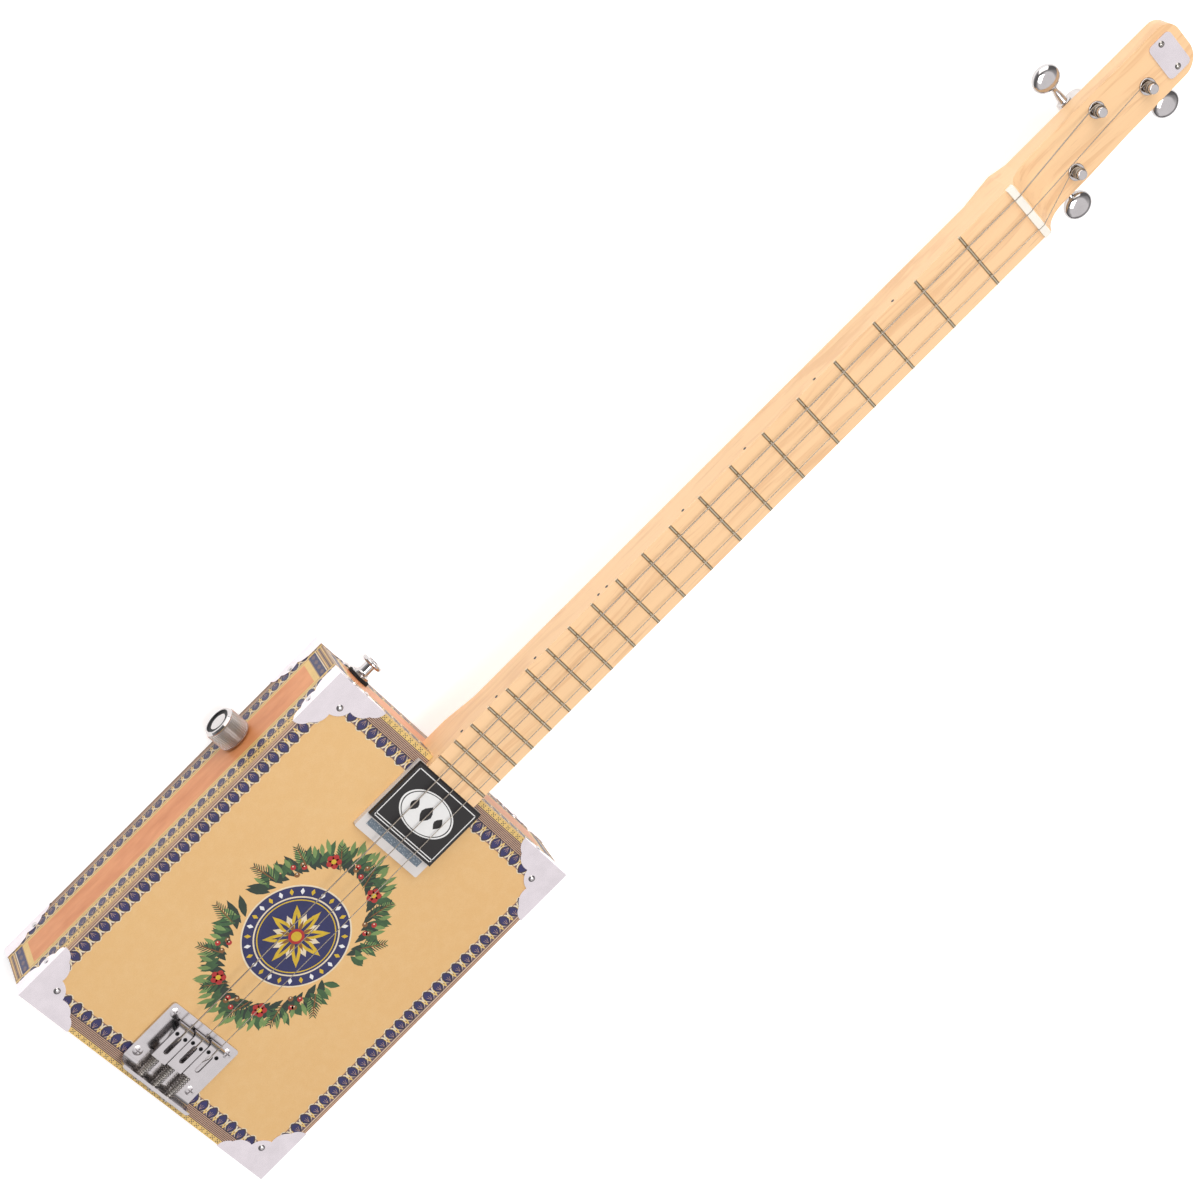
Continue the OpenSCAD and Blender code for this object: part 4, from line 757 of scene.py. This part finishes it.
def side_panel(shape, at, half, settings, spans=None):
    """Prints one side of the box in a frame whose x runs along it, y up and z out of it."""
    spans = spans or [(-half, half)]
    thin = 0.06 * MM
    bands = ((0.0, 4.0, BROWN), (4.0, 11.0, GROUND), (11.0, 42.0, YELLOW), (42.0, 48.5, GROUND),
             (48.5, 54.0, YELLOW))
    for a, b in spans:
        for low, high, finish in bands:
            slab(shape, (a, low * MM, 0), (b, min(high * MM, LID_TOP), thin), finish, at)
        inner_a = a + 14.5 * MM if abs(a) > half - 1 * MM else a
        inner_b = b - 14.5 * MM if abs(b) > half - 1 * MM else b
        slab(shape, (inner_a, 14.6 * MM, 0), (inner_b, 38 * MM, 0.1 * MM), ORANGE, at)
        rules = ((0.9, 0.4, DARK), (2.4, 0.35, PINK), (3.8, 0.35, CREAM), (11.2, 0.4, BROWN),
                 (13.0, 0.3, BROWN), (39.6, 0.3, BROWN), (41.6, 0.4, BROWN), (48.4, 0.35, DARK),
                 (49.4, 0.3, BROWN), (53.4, 0.5, BROWN))
        lines(shape, at, a, b, [(y * MM, w * MM, f) for y, w, f in rules], thin)
        for y, inwards in ((45.2, -1), (7.6, 1)):
            leaf_row(shape, at @ Matrix.Translation((0, y * MM, 0)), a + 0.5 * MM, b - 0.5 * MM,
                     inwards, settings, 0.92, thin)
        count = max(1, round((b - a) / (7.6 * MM)))
        step = (b - a) / count
        for i in range(count):
            x = a + (i + 0.5) * step
            for dx, dy, r in ((0, 0, 0.85), (-1.7, 0.5, 0.45), (1.7, 0.5, 0.45), (step / 2 / MM, -0.5, 0.6)):
                disc(shape, r * MM, 0.03 * MM, DARK,
                     at @ Matrix.Translation((x + dx * MM, (51.4 + dy) * MM, thin)), 8)
        for edge, way in ((a, 1), (b, -1)):
            if abs(edge) < half - 1 * MM:
                continue
            for far, near, finish in ((0.0, 5.2, BROWN), (5.2, 10.4, DEEP)):
                xs = sorted((edge + way * far * MM, edge + way * near * MM))
                slab(shape, (xs[0], 12.8 * MM, 0), (xs[1], 39.4 * MM, 0.09 * MM), finish, at)
            for far, finish in ((1.2, YELLOW), (2.6, DARK), (3.9, YELLOW), (5.2, CREAM), (10.5, BROWN)):
                x = edge + way * far * MM
                slab(shape, (x - 0.25 * MM, 12.8 * MM, 0), (x + 0.25 * MM, 39.4 * MM, 0.12 * MM), finish, at)
            for k in range(4):
                y = (16.2 + 6.6 * k) * MM
                knot = at @ Matrix.Translation((edge + way * 7.8 * MM, y - 2.4 * MM, 0.09 * MM))
                blade(shape, 4.8 * MM, 2.6 * MM, 1.0, 1.0, 0.03 * MM, GROUND, knot, 12)


class GUITAR_OT_side_print(bpy.types.Operator):
    """Prints the four sides of the box"""
    bl_idname = "guitar.side_print"
    bl_label = "Side print"

    def execute(self, context):
        settings = context.scene.guitar_print
        stand = Matrix.Rotation(math.pi / 2, 4, "X")
        shape = bmesh.new()
        for way in (-1, 1):
            turn = Matrix.Rotation(math.pi if way > 0 else 0, 4, "Z")
            at = turn @ Matrix.Translation((0, -HALF_WID, 0)) @ stand
            side_panel(shape, at, HALF_LEN, settings)
        piece("side_labels", shape, INKS)
        shape = bmesh.new()
        for way in (-1, 1):
            turn = Matrix.Rotation(way * math.pi / 2, 4, "Z")
            at = turn @ Matrix.Translation((0, -HALF_LEN, 0)) @ stand
            if way < 0:
                side_panel(shape, at, HALF_WID, settings)
                continue
            side_panel(shape, at, HALF_WID, settings,
                       [(-HALF_WID, -NECK_HALF - 0.1 * MM), (NECK_HALF + 0.1 * MM, HALF_WID)])
            slab(shape, (-NECK_HALF, 0, 0), (NECK_HALF, NECK_BOTTOM - 0.1 * MM, 0.06 * MM), BROWN, at)
            slab(shape, (-NECK_HALF, 14.6 * MM, 0), (NECK_HALF, NECK_BOTTOM - 0.1 * MM, 0.1 * MM), ORANGE, at)
        piece("end_labels", shape, INKS)
        return {"FINISHED"}


EMBLEM_INKS = ["deep_navy_ink", "cream_ink", "gold_ink", "leaf_ink", "deep_leaf_ink", "pale_leaf_ink",
               "red_ink", "rust_ink", "white_ink"]
E_NAVY, E_CREAM, E_GOLD, E_LEAF, E_DEEP, E_PALE, E_RED, E_RUST, E_WHITE = range(9)


class GUITAR_OT_emblem(bpy.types.Operator):
    """Prints a plain rosette in a leafy wreath on the lid"""
    bl_idname = "guitar.emblem"
    bl_label = "Lid emblem"

    def execute(self, context):
        settings = context.scene.guitar_print
        shape = bmesh.new()
        centre = Matrix.Translation((-2.5 * MM, 0, LID_TOP))
        up = lambda z: Matrix.Translation((0, 0, z * MM))
        count = settings.wreath_leaves
        for half in (-1, 1):
            for i in range(count):
                t = math.radians(12 + 156 * i / (count - 1)) * half
                for ring, (long, wide, ink, lean) in enumerate((
                        (17.0, 4.6, E_DEEP, 0.75), (14.0, 4.2, E_LEAF, -0.45), (10.5, 2.8, E_PALE, 0.2))):
                    rx, ry = (46 + 5.5 * ring) * MM, (31 + 2.4 * ring) * MM
                    wobble = math.sin(i * 2.4 + ring) * 0.25
                    spot = Vector((rx * math.sin(t), ry * math.cos(t) * 1.02, 0))
                    away = math.atan2(spot.y / ry, spot.x / rx) - math.pi / 2
                    here = centre @ up(0.01 + 0.022 * ring + 0.004 * (i % 3)) @ Matrix.Translation(spot) \
                        @ Matrix.Rotation(away + half * lean + wobble, 4, "Z")
                    blade(shape, long * MM * (0.85 + 0.15 * math.sin(i * 1.7)), wide * MM, 1.25, 0.9,
                          0.012 * MM, ink, here, 12)
        for k, t in enumerate((22, 48, 76, 104, 132, 158)):
            for half in (-1, 1):
                a = math.radians(t) * half
                spot = Vector((44 * MM * math.sin(a), 36 * MM * math.cos(a), 0))
                stem = centre @ up(0.085) @ Matrix.Translation(spot) \
                    @ Matrix.Rotation(-a + half * 0.5, 4, "Z")
                blade(shape, 17 * MM, 0.9 * MM, 1.0, 0.4, 0.012 * MM, E_RUST, stem, 6)
                for j in range(9):
                    for lean in (-1, 1):
                        needle = stem @ Matrix.Translation((0, (2 + 1.6 * j) * MM, 0)) \
                            @ Matrix.Rotation(lean * (0.95 - 0.04 * j), 4, "Z")
                        blade(shape, (7.0 - 0.45 * j) * MM, 0.85 * MM, 1.3, 0.6, 0.012 * MM,
                              E_LEAF if (j + k) % 2 else E_DEEP, needle, 6)
        for k, t in enumerate((35, 62, 90, 118, 145)):
            for half in (-1, 1):
                a = math.radians(t) * half
                spot = Vector((51 * MM * math.sin(a), 35 * MM * math.cos(a), 0))
                here = centre @ up(0.1) @ Matrix.Translation(spot)
                if k % 2:
                    for j in range(5):
                        petal = here @ Matrix.Rotation(math.tau * j / 5, 4, "Z")
                        blade(shape, 4.6 * MM, 4.0 * MM, 0.1, 0.9, 0.02 * MM, E_RED, petal, 10)
                    disc(shape, 1.5 * MM, 0.045 * MM, E_GOLD, here, 12)
                else:
                    for j in range(4):
                        berry = here @ Matrix.Translation((
                            3.6 * MM * math.cos(j * 1.9 + k), 3.2 * MM * math.sin(j * 1.9 + k), 0))
                        disc(shape, 1.6 * MM, 0.02 * MM, E_RED if j % 2 else E_RUST, berry, 12)
                        disc(shape, 0.45 * MM, 0.03 * MM, E_CREAM,
                             berry @ Matrix.Translation((0.4 * MM, 0.5 * MM, 0)), 8)
        disc(shape, 31.5 * MM, 0.13 * MM, E_CREAM, centre, 96)
        disc(shape, 30.6 * MM, 0.15 * MM, E_NAVY, centre, 96)
        disc(shape, 24.6 * MM, 0.17 * MM, E_CREAM, centre, 96, 23.7 * MM)
        disc(shape, 22.6 * MM, 0.17 * MM, E_GOLD, centre, 96, 21.9 * MM)
        for j in range(28):
            gem = centre @ Matrix.Rotation(math.tau * j / 28, 4, "Z") \
                @ Matrix.Translation((0, 25.6 * MM, 0.15 * MM))
            blade(shape, 4.0 * MM, 2.4 * MM, 1.3, 1.3, 0.02 * MM, E_GOLD if j % 2 else E_WHITE, gem, 8)
        for j in range(16):
            ray = centre @ Matrix.Rotation(math.tau * j / 16, 4, "Z")
            long = 19.5 if j % 2 == 0 else 14.5
            blade(shape, long * MM, 5.4 * MM, 1.3, 1.2, (0.18 if j % 2 else 0.2) * MM,
                  E_GOLD if j % 2 == 0 else E_CREAM, ray, 12)
            blade(shape, long * 0.72 * MM, 2.2 * MM, 1.3, 1.2, 0.22 * MM,
                  E_NAVY if j % 2 == 0 else E_RUST, ray, 10)
        disc(shape, 4.6 * MM, 0.24 * MM, E_RED, centre, 32)
        disc(shape, 3.0 * MM, 0.26 * MM, E_GOLD, centre, 32)
        piece("lid_emblem", shape, EMBLEM_INKS)
        return {"FINISHED"}


class GUITAR_OT_pickup(bpy.types.Operator):
    """Prints the folded cover and lays the striker strip on the pickup"""
    bl_idname = "guitar.pickup"
    bl_label = "Pickup print"

    def execute(self, context):
        low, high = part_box("pickup_cover")
        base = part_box("pickup_base")
        shape = bmesh.new()
        top = high[2]
        thick = 0.05 * MM
        mid = Matrix.Translation((0, 0, top))
        x0, x1 = low[0] + 1.6 * MM, high[0] - 2.6 * MM
        y0, y1 = low[1] + 1.7 * MM, high[1] - 1.7 * MM
        line = 0.55 * MM
        for a, b in (((x0, y0), (x1, y0 + line)), ((x0, y1 - line), (x1, y1)),
                     ((x0, y0), (x0 + line, y1)), ((x1 - line, y0), (x1, y1)),
                     ((x0 + 1.6 * MM, y0), (x0 + 1.6 * MM + line, y1))):
            slab(shape, (*a, 0), (*b, thick), 0, mid)
        oval = Matrix.Diagonal((0.66, 1.0, 1.0, 1.0))
        centre = Matrix.Translation(((x0 + x1) / 2 + 0.8 * MM, 0, top)) @ oval
        disc(shape, 18.5 * MM, thick, 0, centre, 72)
        disc(shape, 17.4 * MM, 0.08 * MM, 1, centre, 72, 16.7 * MM)
        for j in (-1, 0, 1):
            gem = centre @ Matrix.Translation((0, j * 9.5 * MM, 0)) @ Matrix.Rotation(math.pi / 2, 4, "Z") \
                @ Matrix.Translation((0, -8.5 * MM if j == 0 else -6.0 * MM, 0))
            blade(shape, (17.0 if j == 0 else 12.0) * MM, (7.5 if j == 0 else 5.5) * MM, 1.3, 1.3,
                  0.08 * MM, 1, gem, 16)
        piece("pickup_print", shape, ["white_ink", "cover_black"])
        shape = bmesh.new()
        strip_x = low[0] - 1.0 * MM
        slab(shape, (strip_x - 4.4 * MM, -21 * MM, base[1][2]), (strip_x, 21 * MM, base[1][2] + 0.25 * MM))
        bmesh.ops.bevel(shape, geom=shape.edges[:], offset=0.1 * MM, segments=1, profile=0.5,
                        affect="EDGES", material=-1)
        piece("striker_strip", shape, ["striker"])
        return {"FINISHED"}


# Turned and wound pieces

class GUITAR_OT_knob(bpy.types.Operator):
    """Turns the knurled volume knob, with painted shade in its end groove"""
    bl_idname = "guitar.knob"
    bl_label = "Knob"

    def execute(self, context):
        low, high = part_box("knob")
        radius = (high[0] - low[0]) / 2
        length = high[1] - low[1]
        around, rows, knurl_deep = 44, 12, 0.75 * MM
        start, stop = 1.0 * MM, length - 2.0 * MM
        bore, bore_dep, foot = 6.8 * MM, 3.2 * MM, radius - 0.35 * MM
        outline = [(bore, bore_dep), (bore, 0.0), (radius - 0.9 * MM, 0.0), (foot, 0.5 * MM),
                   (foot, start - 0.1 * MM)]
        outline += [(radius - knurl_deep, start + (stop - start) * k / (rows - 1)) for k in range(rows)]
        outline += [(radius - 0.5 * MM, stop + 0.1 * MM), (radius - 0.4 * MM, stop + 0.5 * MM),
                    (radius - 1.2 * MM, length - 0.2 * MM)]
        # The end face, with a round groove: shares of the radius and depths in mm
        outline += [(share * radius, length - deep * MM) for share, deep in (
            (0.8, 0.0), (0.76, 0.15), (0.7, 0.9), (0.6, 1.1), (0.52, 0.8), (0.4, 0.45), (0.2, 0.3),
            (0.0, 0.28))]
        shape = bmesh.new()
        spun(shape, outline, 0, steps=around)
        wall = [f for f in shape.faces if start < f.calc_center_median().z < stop
                and f.calc_center_median().xy.length > 0.8 * radius]
        for v in bmesh.ops.poke(shape, faces=wall)["verts"]:
            v.co.xy *= radius / v.co.xy.length
        for f in shape.faces:
            middle = f.calc_center_median()
            reach = middle.xy.length
            f.material_index = int(start < middle.z < stop and reach > 0.8 * radius)
            # Faces in the end face's groove take the dark finish: painted shade and a painted dark reflection
            # in the chrome recess
            if middle.z > length - 1.2 * MM and 0.54 * radius < reach < 0.73 * radius:
                f.material_index = 2
        rim = [e for e in shape.edges
               if e.is_boundary and all(abs(v.co.z - bore_dep) < 1e-6 for v in e.verts)]
        bmesh.ops.holes_fill(shape, edges=rim, sides=0)
        centre = Vector(((low[0] + high[0]) / 2, low[1], (low[2] + high[2]) / 2))
        bmesh.ops.transform(shape, matrix=Matrix.Translation(centre) @ Matrix.Rotation(-math.pi / 2, 4, "X"),
                            verts=shape.verts[:])
        # The third finish, the dark steel, is painted shade in the end groove
        piece("knob_knurled", shape, ["chrome", "knurled", "black_steel"], "volume_knob",
              ["knob"], 12)
        return {"FINISHED"}


class GUITAR_OT_buttons(bpy.types.Operator):
    """Casts the oval tuner buttons with their tapered stems"""
    bl_idname = "guitar.buttons"
    bl_label = "Tuner buttons"

    def execute(self, context):
        for side in SIDES:
            low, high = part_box(f"tuner_button_{side}")
            mid = (Vector(low) + Vector(high)) / 2
            way = 1 if mid.y > 0 else -1
            outer = high[1] if way > 0 else low[1]
            inner = low[1] if way > 0 else high[1]
            half = Vector(((high[0] - low[0]) / 2, 7.75 * MM, 3.8 * MM))
            shape = bmesh.new()
            bmesh.ops.create_uvsphere(shape, u_segments=48, v_segments=26, radius=1.0)
            for v in shape.verts:
                flat = math.hypot(v.co.x, v.co.y)
                swell = 1.0 if flat < 1e-6 else min(1.0, flat ** 0.72) / flat
                v.co = Vector((v.co.x * swell * half.x, v.co.y * swell * half.y,
                               math.copysign(abs(v.co.z) ** 0.9, v.co.z) * half.z))
            bmesh.ops.translate(shape, vec=(0, outer - way * half.y, 0), verts=shape.verts[:])
            reach = abs(outer - inner) - 2 * half.y + 1.2 * MM
            turn = Matrix.Translation((0, inner, 0)) @ Matrix.Rotation(-way * math.pi / 2, 4, "X")
            spun(shape, [(0, 0), (3.9 * MM, 0), (4.2 * MM, 0.3 * MM), (4.2 * MM, 1.2 * MM),
                         (3.9 * MM, 1.5 * MM), (3.0 * MM, 1.6 * MM), (2.75 * MM, 2.4 * MM),
                         (2.3 * MM, 0.55 * reach),
                         (1.75 * MM, 0.75 * reach), (1.8 * MM, 0.88 * reach), (2.6 * MM, reach),
                         (0, reach + 0.4 * MM)], 0, turn, 36)
            bmesh.ops.translate(shape, vec=(mid.x, 0, mid.z), verts=shape.verts[:])
            piece(f"button_{side}", shape, ["chrome"], f"{side}_peg", [f"tuner_button_{side}"], 40)
        return {"FINISHED"}


def string_dia(side):
    """Diameter of one string, from the settings."""
    return getattr(bpy.context.scene.guitar_wire, f"{side}_dia")


class GUITAR_OT_strings(bpy.types.Operator):
    """Winds the strings round their posts and tunes their finish"""
    bl_idname = "guitar.strings"
    bl_label = "Strings"

    def execute(self, context):
        for side in SIDES:
            dia = string_dia(side)
            name = "plain_wire" if side == "treble" else "wound_wire"
            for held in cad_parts[f"string_{side}"].material_slots:
                held.material = finish_of(name)
            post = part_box(f"tuner_post_{side}")
            px, py = (post[0][0] + post[1][0]) / 2, (post[0][1] + post[1][1]) / 2
            low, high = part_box(f"winding_{side}")
            gap = 0.45 * MM
            around = (post[1][0] - post[0][0]) / 2 + dia / 2 + 0.05 * MM
            rise = dia + gap
            turns = {"bass": 2, "middle": 3, "treble": 4}[side]
            base = low[2] + dia / 2
            steps = 40 * turns + 10
            points = [(px - dia, py + around, base)]
            for i in range(steps + 1):
                a = math.tau * i / 40
                points.append((px + around * math.sin(a), py + around * math.cos(a), base + rise * i / 40))
            top = base + rise * steps / 40
            points += [(px + around * 0.94, py - dia * 0.6, top), (px + around * 0.8, py - dia, top),
                       (px + around * 0.8 - dia, py - dia, top)]
            shape = tube(points, dia / 2, 3)
            piece(f"coil_{side}", shape, [name], f"{side}_post", [f"winding_{side}"], 50)
        return {"FINISHED"}


class GUITAR_OT_springs(bpy.types.Operator):
    """Coils the three saddle springs"""
    bl_idname = "guitar.springs"
    bl_label = "Saddle springs"

    def execute(self, context):
        settings = context.scene.guitar_wire
        for side in SIDES:
            low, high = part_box(f"spring_{side}")
            y, z = (low[1] + high[1]) / 2, (low[2] + high[2]) / 2
            wire = settings.spring_wire
            radius = (high[2] - low[2]) / 2 - wire / 2
            start, end = low[0] + wire / 2, high[0] - wire / 2
            curls = settings.spring_curls
            steps = 28 * curls
            points = []
            for i in range(steps + 1):
                t = i / steps
                a = math.tau * curls * t
                points.append((start + (end - start) * t, y + radius * math.cos(a), z + radius * math.sin(a)))
            shape = tube(points, wire / 2, 2)
            made = piece(f"coil_spring_{side}", shape, ["steel"], None, [f"spring_{side}"], 60)
            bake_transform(made)
        return {"FINISHED"}


class GUITAR_PT_panel(bpy.types.Panel):
    """Lists the guitar's pieces in the sidebar"""
    bl_idname = "GUITAR_PT_panel"
    bl_label = "Cigar Box Guitar"
    bl_space_type = "VIEW_3D"
    bl_region_type = "UI"
    bl_category = "Guitar"

    def draw(self, context):
        for cls in OPERATORS:
            self.layout.operator(cls.bl_idname)
        for group in ("guitar_print", "guitar_wood", "guitar_wire", "guitar_stage"):
            settings = getattr(context.scene, group)
            box = self.layout.box()
            for name in settings.__annotations__:
                box.prop(settings, name)


GROUPS = {
    "guitar_print": PrintSettings, "guitar_wood": WoodSettings, "guitar_wire": WireSettings,
    "guitar_stage": StageSettings,
}
OPERATORS = [
    GUITAR_OT_stage, GUITAR_OT_finishes, GUITAR_OT_lid_print, GUITAR_OT_side_print, GUITAR_OT_emblem,
    GUITAR_OT_pickup, GUITAR_OT_knob, GUITAR_OT_buttons, GUITAR_OT_strings, GUITAR_OT_springs,
]


def register():
    for cls in [*GROUPS.values(), *OPERATORS, GUITAR_PT_panel]:
        bpy.utils.register_class(cls)
    for name, cls in GROUPS.items():
        setattr(bpy.types.Scene, name, PointerProperty(type=cls))


def unregister():
    for name in GROUPS:
        delattr(bpy.types.Scene, name)
    for cls in reversed([*GROUPS.values(), *OPERATORS, GUITAR_PT_panel]):
        bpy.utils.unregister_class(cls)


def main():
    register()
    for cls in OPERATORS:
        group, name = cls.bl_idname.split(".")
        getattr(getattr(bpy.ops, group), name)()


if __name__ == "__main__":
    main()
